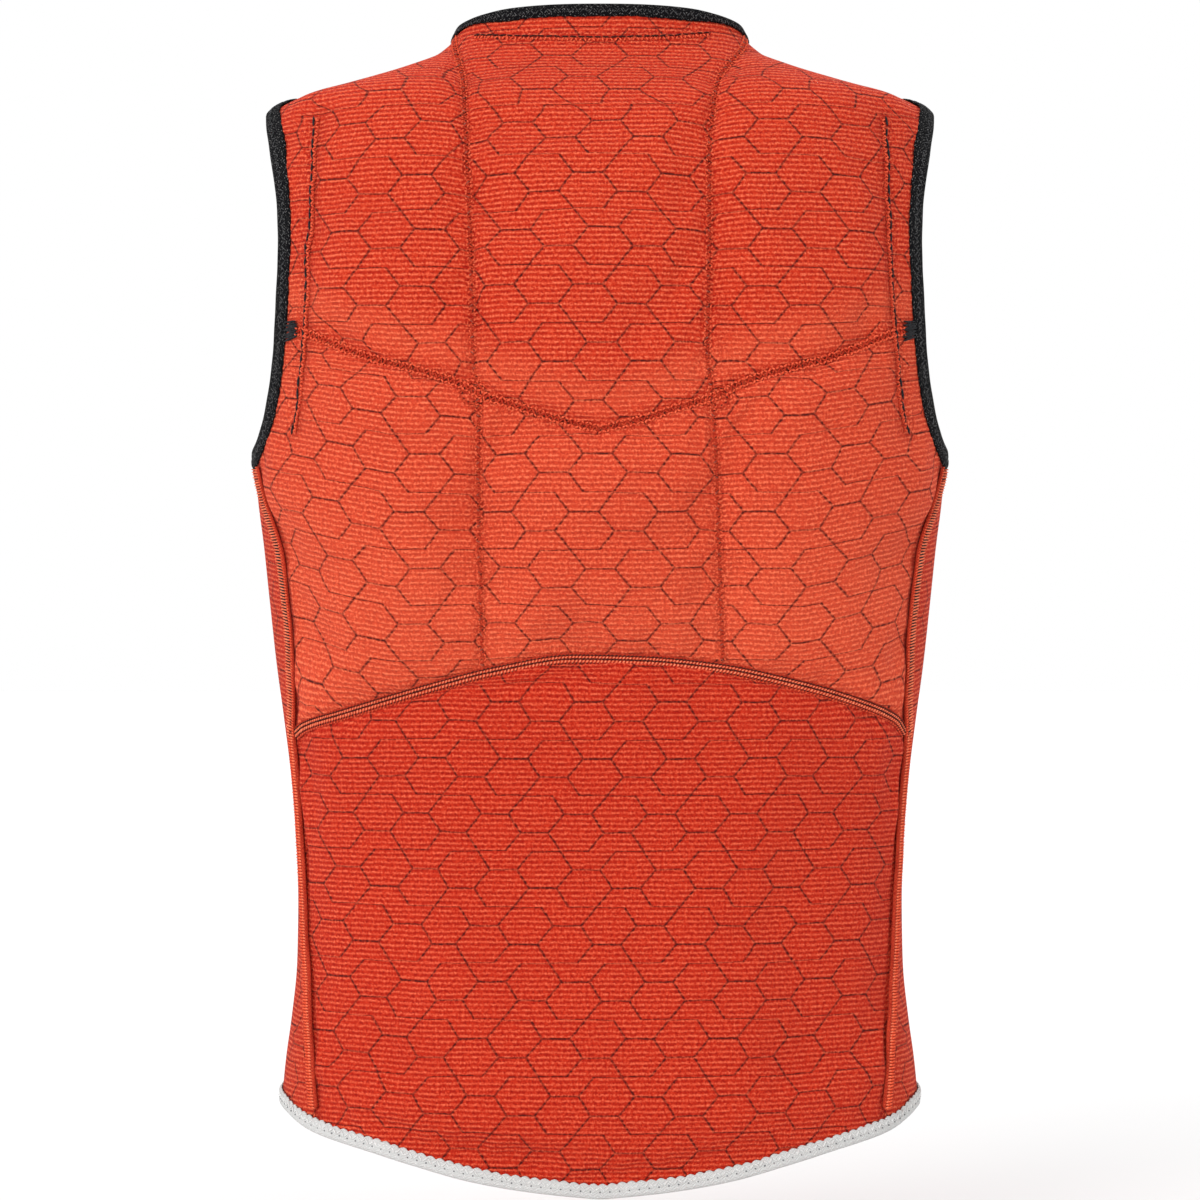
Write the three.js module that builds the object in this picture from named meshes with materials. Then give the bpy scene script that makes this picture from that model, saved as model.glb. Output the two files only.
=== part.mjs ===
import * as THREE from 'three';

// Sizes in millimetres. Heights are measured up from the lowest point of the hem.
// -Y is the back of the vest, +Y its chest side, +X the wearer's right.

// Body form
const TIP_HEIGHT = 584;
const NECK_RISE = 47;
const CHEST_HALF_WIDTH = 190;
const CHEST_BACK_DEPTH = 118;
const CHEST_FRONT_DEPTH = 112;
const SECTION_POWER = 2.4;

// Shoulders and neck
const TIP_HALF_WIDTH = 172;
const TIP_BACK_DEPTH = 84;
const TIP_FRONT_DEPTH = 64;
const NECK_HALF_WIDTH = 77;
const NECK_BACK_DEPTH = 56;
const NECK_FRONT_DEPTH = 50;
const NECK_BACK_RISE = 9;
const NECK_FRONT_DROP = 77;
const NECKLINE_POWER = 2.2;

// Armholes
const ARMHOLE_HEIGHT = 192;
const ARMHOLE_BACK_REACH = 61;
const ARMHOLE_FRONT_REACH = 58;
const ARMHOLE_TOP_POWER = 2;
const ARMHOLE_LOW_POWER = 3.3;

// Seams
const WAIST_SEAM_HEIGHT = 239;
const WAIST_SEAM_RISE = 43;
const YOKE_SEAM_HEIGHT = 402;
const YOKE_SEAM_RISE = 55;
const CHANNEL_OFFSET = 64;
const BACK_SEAM_ANGLE = 75;
const FRONT_SEAM_ANGLE_LOW = 116;
const FRONT_SEAM_ANGLE_HIGH = 101;
const HEM_SIDE_RISE = 41;
const HEM_FRONT_RISE = 30;

// Cloth and padding
const WALL = 3.5;
const PAD_LIFT = 7;
const PAD_SHOULDER = 26;
const SHOULDER_FADE = 110;
const LUMBAR_LIFT = 4;
const SEAM_GAP = 0.3;

// Bindings
const BINDING_WIDTH = 9;
const NECK_BINDING_WIDTH = 7;
const BINDING_WALL = 1.3;
const BINDING_CLEAR_OUT = 0.45;
const NECK_CLEAR_OUT = 1.0;
const BINDING_CLEAR_IN = 0.9;
const NECK_CLEAR_IN = 1.3;
const BINDING_CLEAR_EDGE = 0.7;
const BORDER = BINDING_WIDTH + 1;
const GROOVE = 9;

// Raised seams and tacks
const RIDGE_HALF_WIDTH = 2.4;
const RIDGE_HEIGHT = 3.2;
const FLATLOCK_HALF_WIDTH = 3.5;
const FLATLOCK_HEIGHT = 1.3;
const SEAM_CLEAR = 0.35;
const SEAM_PULL = 3;
const TACK_CLEAR = 0.35;
const TACK_LENGTH = 10;
const TACK_WIDTH = 6;
const TACK_HEIGHT = 1.2;
const TACK_INSET = 3.5;

// Height at which the shoulders carry the vest
const STRAP_HEIGHT = 578;

// Mesh divisions
const FLANK_CELLS = 6;
const MIDDLE_CELLS = 10;
const SIDE_CELLS = 5;
const LOWER_CELLS = 9;
const WAIST_CELLS = 9;
const UNDERARM_CELLS = 4;
const YOKE_CELLS = 10;
const FRONT_ARM_CELLS = 13;
const FRONT_NECK_CELLS = 16;
const FINE = 240;

// Sections below the shoulder tip:
// height / TIP_HEIGHT, half width, back depth, front depth (shares of the chest sizes)
const BODY_SECTIONS = [
  [0.000, 0.921, 0.848, 0.850],
  [0.077, 0.916, 0.848, 0.850],
  [0.140, 0.889, 0.822, 0.822],
  [0.197, 0.871, 0.788, 0.795],
  [0.253, 0.868, 0.763, 0.786],
  [0.310, 0.874, 0.746, 0.786],
  [0.366, 0.887, 0.754, 0.804],
  [0.423, 0.908, 0.788, 0.840],
  [0.479, 0.931, 0.839, 0.884],
  [0.536, 0.950, 0.890, 0.928],
  [0.592, 0.968, 0.941, 0.964],
  [0.649, 0.991, 0.983, 0.991],
  [0.676, 0.997, 0.992, 1.000],
  [0.736, 1.000, 1.000, 1.000],
  [0.822, 1.000, 0.975, 0.964],
  [0.925, 0.993, 0.890, 0.770],
  [0.959, 0.984, 0.830, 0.680],
  [0.986, 0.966, 0.763, 0.607],
];

// Sections from the shoulder tip to the neck edge:
// rise / NECK_RISE, then width, back and front depth from the neck (0) to the tip (1)
const SHOULDER_SECTIONS = [
  [0.000, 1.000, 1.00, 1.00],
  [0.090, 0.800, 0.86, 0.80],
  [0.210, 0.580, 0.66, 0.56],
  [0.360, 0.350, 0.46, 0.36],
  [0.450, 0.240, 0.36, 0.28],
  [0.580, 0.125, 0.24, 0.18],
  [0.810, 0.020, 0.08, 0.05],
  [1.000, 0.000, 0.00, 0.00],
];

// Back side seam: height / WAIST_SEAM_HEIGHT, angle / BACK_SEAM_ANGLE
const BACK_SEAM = [
  [0.00, 0.76],
  [0.17, 0.78],
  [0.28, 0.83],
  [0.40, 0.90],
  [0.58, 0.97],
  [0.75, 0.995],
  [0.90, 0.99],
  [1.00, 0.975],
  [1.11, 0.92],
  [1.26, 0.885],
  [1.40, 0.89],
  [1.53, 0.97],
  [1.59, 1.015],
  [1.66, 1.06],
  [1.80, 1.08],
];

// Waist seam: position across the back (-1 to 1), rise / WAIST_SEAM_RISE
const WAIST_SEAM = [
  [-1.00, 0.00],
  [-0.96, 0.13],
  [-0.83, 0.30],
  [-0.54, 0.64],
  [-0.33, 0.85],
  [-0.08, 1.00],
  [0.13, 0.98],
  [0.37, 0.89],
  [0.63, 0.68],
  [0.83, 0.45],
  [0.96, 0.22],
  [1.00, 0.00],
];

// Yoke seam: position across the back (0 to 1), rise / YOKE_SEAM_RISE
const YOKE_SEAM = [
  [0.00, 0.00],
  [0.12, 0.09],
  [0.24, 0.21],
  [0.36, 0.33],
  [0.42, 0.43],
  [0.55, 0.57],
  [0.65, 0.65],
  [0.77, 0.78],
  [0.92, 0.97],
  [1.00, 1.00],
];

// Quilting channels: rise from waist seam to neck, left and right offset / CHANNEL_OFFSET
const CHANNELS = [
  [0.00, 0.96, 1.01],
  [0.25, 0.985, 0.96],
  [0.40, 0.985, 0.92],
  [0.48, 1.03, 0.875],
  [0.63, 1.05, 0.89],
  [0.79, 1.09, 0.90],
  [0.94, 1.15, 1.03],
  [1.00, 1.20, 1.20],
];

// Hem: turn from the centre back (0) to the side (1), rise / HEM_SIDE_RISE
const HEM = [
  [0.000, 0.00],
  [0.115, 0.10],
  [0.216, 0.215],
  [0.332, 0.385],
  [0.470, 0.56],
  [0.670, 0.74],
  [0.860, 0.94],
  [1.000, 1.00],
];

// Smooth table lookup without overshoot; column 0 is the position
function smoothTable(rows) {
  const n = rows.length;
  const columns = rows[0].length - 1;
  const slopes = [];
  for (let c = 1; c <= columns; c += 1) {
    const secant = [];
    for (let i = 0; i < n - 1; i += 1) {
      secant.push((rows[i + 1][c] - rows[i][c]) / (rows[i + 1][0] - rows[i][0]));
    }
    const m = [secant[0]];
    for (let i = 1; i < n - 1; i += 1) {
      const same = secant[i - 1] * secant[i] > 0;
      m.push(same ? 2 / (1 / secant[i - 1] + 1 / secant[i]) : 0);
    }
    m.push(secant[n - 2]);
    slopes.push(m);
  }
  return (x) => {
    const clamped = Math.min(Math.max(x, rows[0][0]), rows[n - 1][0]);
    let i = 0;
    while (i < n - 2 && clamped > rows[i + 1][0]) i += 1;
    const span = rows[i + 1][0] - rows[i][0];
    const t = (clamped - rows[i][0]) / span;
    const h00 = (1 + 2 * t) * (1 - t) * (1 - t);
    const h10 = t * (1 - t) * (1 - t);
    const h01 = t * t * (3 - 2 * t);
    const h11 = t * t * (t - 1);
    return slopes.map((m, c) => (
      h00 * rows[i][c + 1] + h10 * span * m[i] + h01 * rows[i + 1][c + 1] + h11 * span * m[i + 1]
    ));
  };
}

function sectionRows() {
  const rows = BODY_SECTIONS.map(([share, width, back, front]) => [
    share * TIP_HEIGHT,
    width * CHEST_HALF_WIDTH,
    back * CHEST_BACK_DEPTH,
    front * CHEST_FRONT_DEPTH,
  ]);
  for (const [share, width, back, front] of SHOULDER_SECTIONS) {
    rows.push([
      TIP_HEIGHT + share * NECK_RISE,
      NECK_HALF_WIDTH + width * (TIP_HALF_WIDTH - NECK_HALF_WIDTH),
      NECK_BACK_DEPTH + back * (TIP_BACK_DEPTH - NECK_BACK_DEPTH),
      NECK_FRONT_DEPTH + front * (TIP_FRONT_DEPTH - NECK_FRONT_DEPTH),
    ]);
  }
  return rows;
}

const sectionAt = smoothTable(sectionRows());
const backSeamAt = smoothTable(BACK_SEAM);
const waistSeamAt = smoothTable(WAIST_SEAM);
const yokeSeamAt = smoothTable(YOKE_SEAM);
const channelAt = smoothTable(CHANNELS);
const hemAt = smoothTable(HEM);

const radians = (degrees) => degrees * Math.PI / 180;
const mix = (a, b, t) => a + (b - a) * t;
const smooth = (t) => {
  const c = Math.min(Math.max(t, 0), 1);
  return c * c * (3 - 2 * c);
};

// Point of the body form at a height; turn 0 is the centre back, 90 the side, 180 the chest
function formAt(turn, z) {
  const [width, back, front] = sectionAt(z);
  const power = 2 / SECTION_POWER;
  const s = Math.sin(radians(turn));
  const c = Math.cos(radians(turn));
  const x = Math.sign(s) * width * Math.abs(s) ** power;
  const depth = c > 0 ? -back : front;
  return new THREE.Vector3(x, depth * Math.abs(c) ** power, z);
}

// Point of the body form at a place across it, on the back (-1) or the chest (1)
function faceAt(x, z, face) {
  const [width, back, front] = sectionAt(z);
  const share = Math.min(Math.abs(x) / width, 1);
  const depth = face < 0 ? -back : front;
  const y = depth * (1 - share ** SECTION_POWER) ** (1 / SECTION_POWER);
  return new THREE.Vector3(Math.sign(x) * share * width, y, z);
}

function formValue(p) {
  const [width, back, front] = sectionAt(p.z);
  const depth = p.y < 0 ? back : front;
  const sum = (Math.abs(p.x) / width) ** SECTION_POWER + (Math.abs(p.y) / depth) ** SECTION_POWER;
  return sum ** (1 / SECTION_POWER) - 1;
}

function formGradient(p) {
  const step = 0.4;
  const along = (axis) => {
    const high = p.clone();
    const low = p.clone();
    high[axis] += step;
    low[axis] -= step;
    return (formValue(high) - formValue(low)) / (2 * step);
  };
  return new THREE.Vector3(along('x'), along('y'), along('z'));
}

function settle(point) {
  const p = point.clone();
  for (let k = 0; k < 6; k += 1) {
    const g = formGradient(p);
    p.addScaledVector(g, -formValue(p) / g.lengthSq());
  }
  return p;
}

const normalAt = (p) => formGradient(p).normalize();

// Evenly fine points of a curve given from 0 to 1
function trace(fn) {
  const points = [];
  for (let i = 0; i <= FINE; i += 1) points.push(fn(i / FINE));
  return points;
}

// Points of a fine curve at given lengths, ends kept
function pointsAt(curve, lengths) {
  const run = [0];
  for (let i = 1; i < curve.length; i += 1) {
    run.push(run[i - 1] + curve[i].distanceTo(curve[i - 1]));
  }
  const total = run[run.length - 1];
  const wanted = lengths(total);
  return wanted.map((length) => {
    let i = 0;
    while (i < run.length - 2 && length > run[i + 1]) i += 1;
    const t = (length - run[i]) / Math.max(run[i + 1] - run[i], 1e-9);
    return settle(curve[i].clone().lerp(curve[i + 1], Math.min(Math.max(t, 0), 1)));
  });
}

// Lengths along a line: cells even, with a set first and last cell where one is given
function spaced(cells, first, last) {
  return (total) => {
    const out = [0];
    const start = first || 0;
    const end = total - (last || 0);
    if (first) out.push(first);
    const inner = cells - (first ? 1 : 0) - (last ? 1 : 0);
    for (let i = 1; i <= inner; i += 1) out.push(mix(start, end, i / inner));
    if (last) out.push(total);
    return out;
  };
}

// Feature lines of the left side (side = -1) and right side (side = 1)
function armholePoint(side, turn) {
  const middle = TIP_HEIGHT - ARMHOLE_HEIGHT / 2;
  const c = Math.cos(radians(turn));
  const s = Math.sin(radians(turn));
  const power = 2 / (c > 0 ? ARMHOLE_TOP_POWER : ARMHOLE_LOW_POWER);
  const z = middle + Math.sign(c) * Math.abs(c) ** power * ARMHOLE_HEIGHT / 2;
  const reach = Math.abs(s) ** power;
  const y = s > 0 ? -reach * ARMHOLE_BACK_REACH : reach * ARMHOLE_FRONT_REACH;
  const [width, back, front] = sectionAt(z);
  const share = Math.abs(y) / (y < 0 ? back : front);
  const x = width * (1 - share ** SECTION_POWER) ** (1 / SECTION_POWER);
  return new THREE.Vector3(side * x, y, z);
}

const backSeamPoint = (side, z) => formAt(
  side * BACK_SEAM_ANGLE * backSeamAt(z / WAIST_SEAM_HEIGHT)[0],
  z,
);

function frontSeamPoint(side, z) {
  const top = TIP_HEIGHT - ARMHOLE_HEIGHT;
  const angle = mix(FRONT_SEAM_ANGLE_LOW, FRONT_SEAM_ANGLE_HIGH, z / top);
  return formAt(side * angle, z);
}

// Turn round the armhole (0 top, 90 back, 180 bottom, 270 front) where a test changes sign
function armholeTurn(side, from, to, test) {
  let low = from;
  let high = to;
  for (let k = 0; k < 40; k += 1) {
    const middle = (low + high) / 2;
    if (test(armholePoint(side, middle)) > 0) low = middle;
    else high = middle;
  }
  return (low + high) / 2;
}

function hemHeight(turn) {
  const share = Math.min(Math.abs(turn), 360 - Math.abs(turn)) / 90;
  if (share <= 1) return HEM_SIDE_RISE * hemAt(share)[0];
  return mix(HEM_SIDE_RISE, HEM_FRONT_RISE, smooth(share - 1));
}

const hemPoint = (turn) => formAt(turn, hemHeight(turn));

// Turn of a point of the body form
function turnOf(p) {
  const [width, back, front] = sectionAt(p.z);
  const along = (Math.abs(p.x) / width) ** (SECTION_POWER / 2);
  const across = (Math.abs(p.y) / (p.y < 0 ? back : front)) ** (SECTION_POWER / 2);
  return Math.sign(p.x) * Math.atan2(along, p.y < 0 ? across : -across) * 180 / Math.PI;
}

// Height at which a seam given by height meets the hem
function hemMeeting(seam, side) {
  let z = 0;
  for (let k = 0; k < 30; k += 1) z = mix(z, hemHeight(turnOf(seam(side, z))), 0.7);
  return z;
}

const neckCorner = (side) => formAt(side * 90, TIP_HEIGHT + NECK_RISE - NECK_BACK_RISE);

function neckBackPoint(t) {
  const turn = mix(-90, 90, t);
  const rise = Math.cos(radians(turn));
  return formAt(turn, TIP_HEIGHT + NECK_RISE - NECK_BACK_RISE * (1 - rise ** 0.8));
}

function neckFrontPoint(t) {
  const turn = mix(-90, 90, t);
  const [width] = sectionAt(TIP_HEIGHT + NECK_RISE - NECK_BACK_RISE);
  const power = 2 / NECKLINE_POWER;
  const s = Math.sin(radians(turn));
  const x = Math.sign(s) * width * Math.abs(s) ** power;
  const drop = Math.abs(Math.cos(radians(turn))) ** power;
  const z = TIP_HEIGHT + NECK_RISE - NECK_BACK_RISE - NECK_FRONT_DROP * drop;
  return faceAt(x, z, 1);
}

// Feature points that the pieces share
function landmarks(side) {
  const backTurn = armholeTurn(side, 180, 90, (p) => Math.abs(backSeamPoint(side, p.z).y) - Math.abs(p.y));
  const frontTurn = armholeTurn(side, 180, 270, (p) => frontSeamPoint(side, p.z).y - p.y);
  const yokeTurn = armholeTurn(side, 180, 0, (p) => YOKE_SEAM_HEIGHT + YOKE_SEAM_RISE - p.z);
  const underBack = armholePoint(side, backTurn);
  const underFront = armholePoint(side, frontTurn);
  return {
    side,
    backTurn,
    frontTurn,
    yokeTurn,
    underBack,
    underFront,
    yokeEnd: armholePoint(side, yokeTurn),
    waistEnd: backSeamPoint(side, WAIST_SEAM_HEIGHT),
    hemBack: hemMeeting(backSeamPoint, side),
    hemFront: hemMeeting(frontSeamPoint, side),
  };
}

// Stations of the seams and edges of one side
function sideLines(side) {
  const mark = landmarks(side);
  const seamBack = (from, to) => trace((t) => backSeamPoint(side, mix(from, to, t)));
  const seamFront = (from, to) => trace((t) => frontSeamPoint(side, mix(from, to, t)));
  const arm = (from, to) => trace((t) => armholePoint(side, mix(from, to, t)));
  const low = pointsAt(seamBack(mark.hemBack, WAIST_SEAM_HEIGHT), spaced(LOWER_CELLS, BORDER, BORDER));
  const high = pointsAt(seamBack(WAIST_SEAM_HEIGHT, mark.underBack.z), spaced(WAIST_CELLS, BORDER, BORDER));
  const rows = LOWER_CELLS + WAIST_CELLS;
  return {
    ...mark,
    low,
    high,
    front: pointsAt(seamFront(mark.hemFront, mark.underFront.z), spaced(rows, BORDER, BORDER)),
    armLow: pointsAt(arm(mark.backTurn, mark.yokeTurn), spaced(UNDERARM_CELLS, 0, GROOVE)),
    armHigh: pointsAt(arm(mark.yokeTurn, 0), spaced(YOKE_CELLS, GROOVE, BORDER)),
    armFront: pointsAt(arm(mark.frontTurn, 360), spaced(FRONT_ARM_CELLS, 0, BORDER)),
    armUnder: pointsAt(arm(mark.backTurn, mark.frontTurn), spaced(SIDE_CELLS, BORDER, BORDER)),
    ridge: pointsAt(
      trace((t) => formAt(side * 90, mix(TIP_HEIGHT, neckCorner(side).z, t))),
      spaced(FLANK_CELLS, BORDER, GROOVE),
    ),
  };
}

const left = sideLines(-1);
const right = sideLines(1);

// Lines across the back
function backAcross(heightAt) {
  return trace((t) => {
    const place = mix(-1, 1, t);
    return heightAt(place);
  });
}

function waistPoint(place) {
  const end = Math.abs(left.waistEnd.x);
  const z = WAIST_SEAM_HEIGHT + WAIST_SEAM_RISE * waistSeamAt(place)[0];
  const reach = Math.abs(backSeamPoint(1, z).x);
  return faceAt(place * mix(reach, end, Math.abs(place) ** 6), z, -1);
}

function yokePoint(place) {
  const end = Math.abs(left.yokeEnd.x);
  const z = YOKE_SEAM_HEIGHT + YOKE_SEAM_RISE * yokeSeamAt(Math.abs(place))[0];
  return faceAt(place * end, z, -1);
}

// Quilting channel of one side, from the waist seam up to the neck corner
function channelLine(side) {
  const top = neckCorner(side);
  const column = side < 0 ? 0 : 1;
  const reach = Math.abs(left.waistEnd.x);
  const start = side * CHANNEL_OFFSET * channelAt(0)[column];
  const foot = waistPoint(start / reach).z;
  return trace((t) => {
    const share = 1 - (1 - t) ** 2;
    const offset = side * CHANNEL_OFFSET * channelAt(share)[column];
    const x = mix(offset, top.x, smooth((share - 0.9) / 0.1));
    return share >= 1 ? top : faceAt(x, mix(foot, top.z, share), -1);
  });
}

// Part of a curve from its start to where it comes closest to a line of points, and the rest
function splitAt(curve, other) {
  let best = 0;
  let least = Infinity;
  curve.forEach((p, i) => {
    for (const q of other) {
      const d = p.distanceTo(q);
      if (d < least) {
        least = d;
        best = i;
      }
    }
  });
  return [curve.slice(0, best + 1), curve.slice(best)];
}

// Points between four border lines, laid on the body form
function patch(bottom, top, start, end) {
  const rows = start.length - 1;
  const columns = bottom.length - 1;
  const shares = (line) => {
    const run = [0];
    for (let i = 1; i < line.length; i += 1) run.push(run[i - 1] + line[i].distanceTo(line[i - 1]));
    return run.map((r) => r / run[run.length - 1]);
  };
  const ub = shares(bottom);
  const ut = shares(top);
  const vs = shares(start);
  const ve = shares(end);
  const grid = [];
  for (let i = 0; i <= rows; i += 1) {
    const row = [];
    for (let j = 0; j <= columns; j += 1) {
      if (i === 0) row.push(bottom[j].clone());
      else if (i === rows) row.push(top[j].clone());
      else if (j === 0) row.push(start[i].clone());
      else if (j === columns) row.push(end[i].clone());
      else {
        const v = mix(vs[i], ve[i], j / columns);
        const u = mix(ub[j], ut[j], v);
        const p = bottom[j].clone().lerp(top[j], v);
        p.add(start[i].clone().lerp(end[i], u));
        const low = bottom[0].clone().lerp(bottom[columns], u);
        const high = top[0].clone().lerp(top[columns], u);
        row.push(settle(p.sub(low.lerp(high, v))));
      }
    }
    grid.push(row);
  }
  return grid;
}

const joinAcross = (a, b) => a.map((row, i) => row.concat(b[i].slice(1)));
const joinUp = (a, b) => a.concat(b.slice(1));

// Station on an edge, its way in laid along the cloth to the border line
function seated(p, normal, inward) {
  const way = settle(p.clone().addScaledVector(inward, BORDER)).sub(p).normalize();
  const out = normal.clone().addScaledVector(way, -normal.dot(way)).normalize();
  return { p, normal: out, inward: way, tangent: inward };
}

// Rim: stations of a closed edge with normal and the way into the cloth
function rimOf(points, into) {
  const n = points.length;
  return points.map((p, i) => {
    const before = points[(i + n - 1) % n];
    const after = points[(i + 1) % n];
    const normal = normalAt(p);
    const along = after.clone().sub(before);
    along.addScaledVector(normal, -along.dot(normal)).normalize();
    const inward = new THREE.Vector3().crossVectors(along, normal);
    if (inward.dot(into(p)) < 0) inward.negate();
    return seated(p, normal, inward);
  });
}

function armholeRim(lines) {
  const loop = [
    ...lines.armHigh.slice().reverse(),
    ...lines.armLow.slice().reverse().slice(1),
    ...lines.armUnder.slice(1),
    ...lines.armFront.slice(1, -1),
  ];
  const middle = new THREE.Vector3(0, 0, TIP_HEIGHT - ARMHOLE_HEIGHT / 2);
  return rimOf(loop, (p) => p.clone().sub(new THREE.Vector3(p.x, middle.y, middle.z)));
}

// Columns across the back, shared by both back panels and the waist seam
const channelLeft = channelLine(-1);
const channelRight = channelLine(1);
const yokeLine = backAcross(yokePoint);
const waistLine = backAcross(waistPoint);
const [channelLeftLow, channelLeftHigh] = splitAt(channelLeft, yokeLine);
const [channelRightLow, channelRightHigh] = splitAt(channelRight, yokeLine);

// Stations of a line across the back: left edge, left channel, right channel, right edge
function acrossStations(line, leftMeet, rightMeet) {
  const nearest = (q) => {
    let best = 0;
    line.forEach((p, i) => {
      if (p.distanceTo(q) < line[best].distanceTo(q)) best = i;
    });
    return best;
  };
  const a = nearest(leftMeet);
  const b = nearest(rightMeet);
  const flankLeft = [...line.slice(0, a), leftMeet];
  const middle = [leftMeet, ...line.slice(a + 1, b), rightMeet];
  const flankRight = [rightMeet, ...line.slice(b + 1)];
  return {
    left: pointsAt(flankLeft, spaced(FLANK_CELLS, BORDER, GROOVE)),
    middle: pointsAt(middle, spaced(MIDDLE_CELLS, GROOVE, GROOVE)),
    right: pointsAt(flankRight, spaced(FLANK_CELLS, GROOVE, BORDER)),
  };
}

const joined = (s) => [...s.left, ...s.middle.slice(1), ...s.right.slice(1)];
const waistStations = acrossStations(waistLine, channelLeft[0], channelRight[0]);
const yokeStations = acrossStations(
  yokeLine,
  channelLeftHigh[0],
  channelRightHigh[0],
);
const waistColumns = joined(waistStations);

const neckBack = pointsAt(trace(neckBackPoint), spaced(MIDDLE_CELLS, GROOVE, GROOVE));
const neckFront = pointsAt(trace(neckFrontPoint), spaced(FRONT_NECK_CELLS, GROOVE, GROOVE));

// Hem stations: back, right side, front, left side
const HEM_BACK_CELLS = 2 * FLANK_CELLS + MIDDLE_CELLS;
const FRONT_CELLS = 2 * FLANK_CELLS + FRONT_NECK_CELLS;
const hemArc = (from, to, cells) => pointsAt(
  trace((t) => hemPoint(mix(from, to, t))),
  spaced(cells, BORDER, BORDER),
);
const hemBack = hemArc(turnOf(left.low[0]), turnOf(right.low[0]), HEM_BACK_CELLS);
const hemRight = hemArc(turnOf(right.low[0]), turnOf(right.front[0]), SIDE_CELLS);
const hemLeft = hemArc(turnOf(left.low[0]), turnOf(left.front[0]), SIDE_CELLS);
const hemFront = hemArc(turnOf(left.front[0]), turnOf(right.front[0]) - 360, FRONT_CELLS);

// Rims of the four openings
const rimLeft = armholeRim(left);
const rimRight = armholeRim(right);
const rimNeck = rimOf(
  [...neckBack, ...neckFront.slice(1, -1).reverse()],
  () => new THREE.Vector3(0, 0, -1),
);
const rimHem = rimOf(
  [
    ...hemBack,
    ...hemRight.slice(1),
    ...hemFront.slice().reverse().slice(1),
    ...hemLeft.slice(1, -1).reverse(),
  ],
  () => new THREE.Vector3(0, 0, 1),
);
const rimStations = [...rimLeft, ...rimRight, ...rimNeck, ...rimHem];

const NEAR = 1e-4;
const isNeckCorner = (p) => [-1, 1].some((side) => neckCorner(side).distanceTo(p) < NEAR);

// Way into the cloth from a vertex of a panel's edge
function wayIn(edge, k, inner) {
  const p = edge[k];
  const rim = isNeckCorner(p) ? null : rimStations.find((r) => r.p.distanceTo(p) < NEAR);
  if (rim) return rim.tangent;
  const before = edge[Math.max(k - 1, 0)];
  const after = isNeckCorner(p) && k > edge.length / 2 ? edge[k + 1] : p;
  const along = isNeckCorner(p)
    ? after.clone().sub(k > edge.length / 2 ? p : before)
    : edge[Math.min(k + 1, edge.length - 1)].clone().sub(before);
  const normal = normalAt(p);
  along.addScaledVector(normal, -along.dot(normal)).normalize();
  const inward = new THREE.Vector3().crossVectors(along, normal);
  if (inward.dot(inner.clone().sub(p)) < 0) inward.negate();
  return inward;
}

// Lays the first row or column inside each edge at the border width
function setBorders(grid) {
  const rows = grid.length - 1;
  const columns = grid[0].length - 1;
  const column = (j) => grid.map((row) => row[j]);
  const moves = [];
  for (const j of [0, columns]) {
    const edge = column(j);
    const step = j === 0 ? 1 : -1;
    for (let i = 1; i < rows; i += 1) {
      moves.push([i, j + step, edge[i], wayIn(edge, i, grid[i][j + 2 * step])]);
    }
  }
  for (const i of [0, rows]) {
    const step = i === 0 ? 1 : -1;
    for (let j = 1; j < columns; j += 1) {
      moves.push([i + step, j, grid[i][j], wayIn(grid[i], j, grid[i + 2 * step][j])]);
    }
  }
  for (const [i, j, p, way] of moves) grid[i][j] = settle(p.clone().addScaledVector(way, BORDER));
  return grid;
}

// Moves seam vertices back from the seam line by half the gap
function openSeams(grid, seams) {
  const shifts = seams.map(([i, j, towardI, towardJ]) => {
    const way = grid[towardI][towardJ].clone().sub(grid[i][j]).normalize();
    return [i, j, way.multiplyScalar(SEAM_GAP / 2)];
  });
  for (const [i, j, way] of shifts) grid[i][j] = grid[i][j].clone().add(way);
  return grid;
}

const span = (from, to) => Array.from({ length: to - from + 1 }, (_, k) => from + k);

// Thickness added outside the form: pads between still rows and columns, thinner towards the top
function padLift(grid, stillRows, stillColumns, height, fade = PAD_SHOULDER) {
  const rows = grid.length - 1;
  const columns = grid[0].length - 1;
  const away = (line, at, still) => {
    const run = [0];
    for (let k = 1; k < line.length; k += 1) run.push(run[k - 1] + line[k].distanceTo(line[k - 1]));
    return Math.min(...still.map((s) => Math.abs(run[s] - run[at])));
  };
  return grid.map((row, i) => row.map((p, j) => {
    if (i <= 1 || j <= 1 || i >= rows - 1 || j >= columns - 1) return 0;
    const across = smooth(away(row, j, stillColumns) / PAD_SHOULDER);
    const column = grid.map((r) => r[j]);
    const up = smooth(away(column, i, stillRows) / PAD_SHOULDER);
    return height * across * up * smooth(away(column, i, [rows - 1]) / fade);
  }));
}

// Closed mesh from triangles, turned so that its volume is positive
function solid(name, points, triangles, material) {
  let volume = 0;
  for (const [a, b, c] of triangles) {
    volume += points[a].dot(new THREE.Vector3().crossVectors(points[b], points[c]));
  }
  const index = triangles.flatMap(([a, b, c]) => (volume < 0 ? [a, c, b] : [a, b, c]));
  const geometry = new THREE.BufferGeometry();
  geometry.setAttribute('position', new THREE.Float32BufferAttribute(
    points.flatMap((p) => [p.x, p.y, p.z]),
    3,
  ));
  geometry.setIndex(index);
  geometry.computeVertexNormals();
  const mesh = new THREE.Mesh(geometry, material);
  mesh.name = name;
  return mesh;
}

// Direction of the cloth's thickness, shared with the binding at a bound edge
function thicknessWay(p) {
  const rim = rimStations.find((r) => r.p.distanceTo(p) < SEAM_GAP);
  return rim ? rim.normal : normalAt(p);
}

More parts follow.
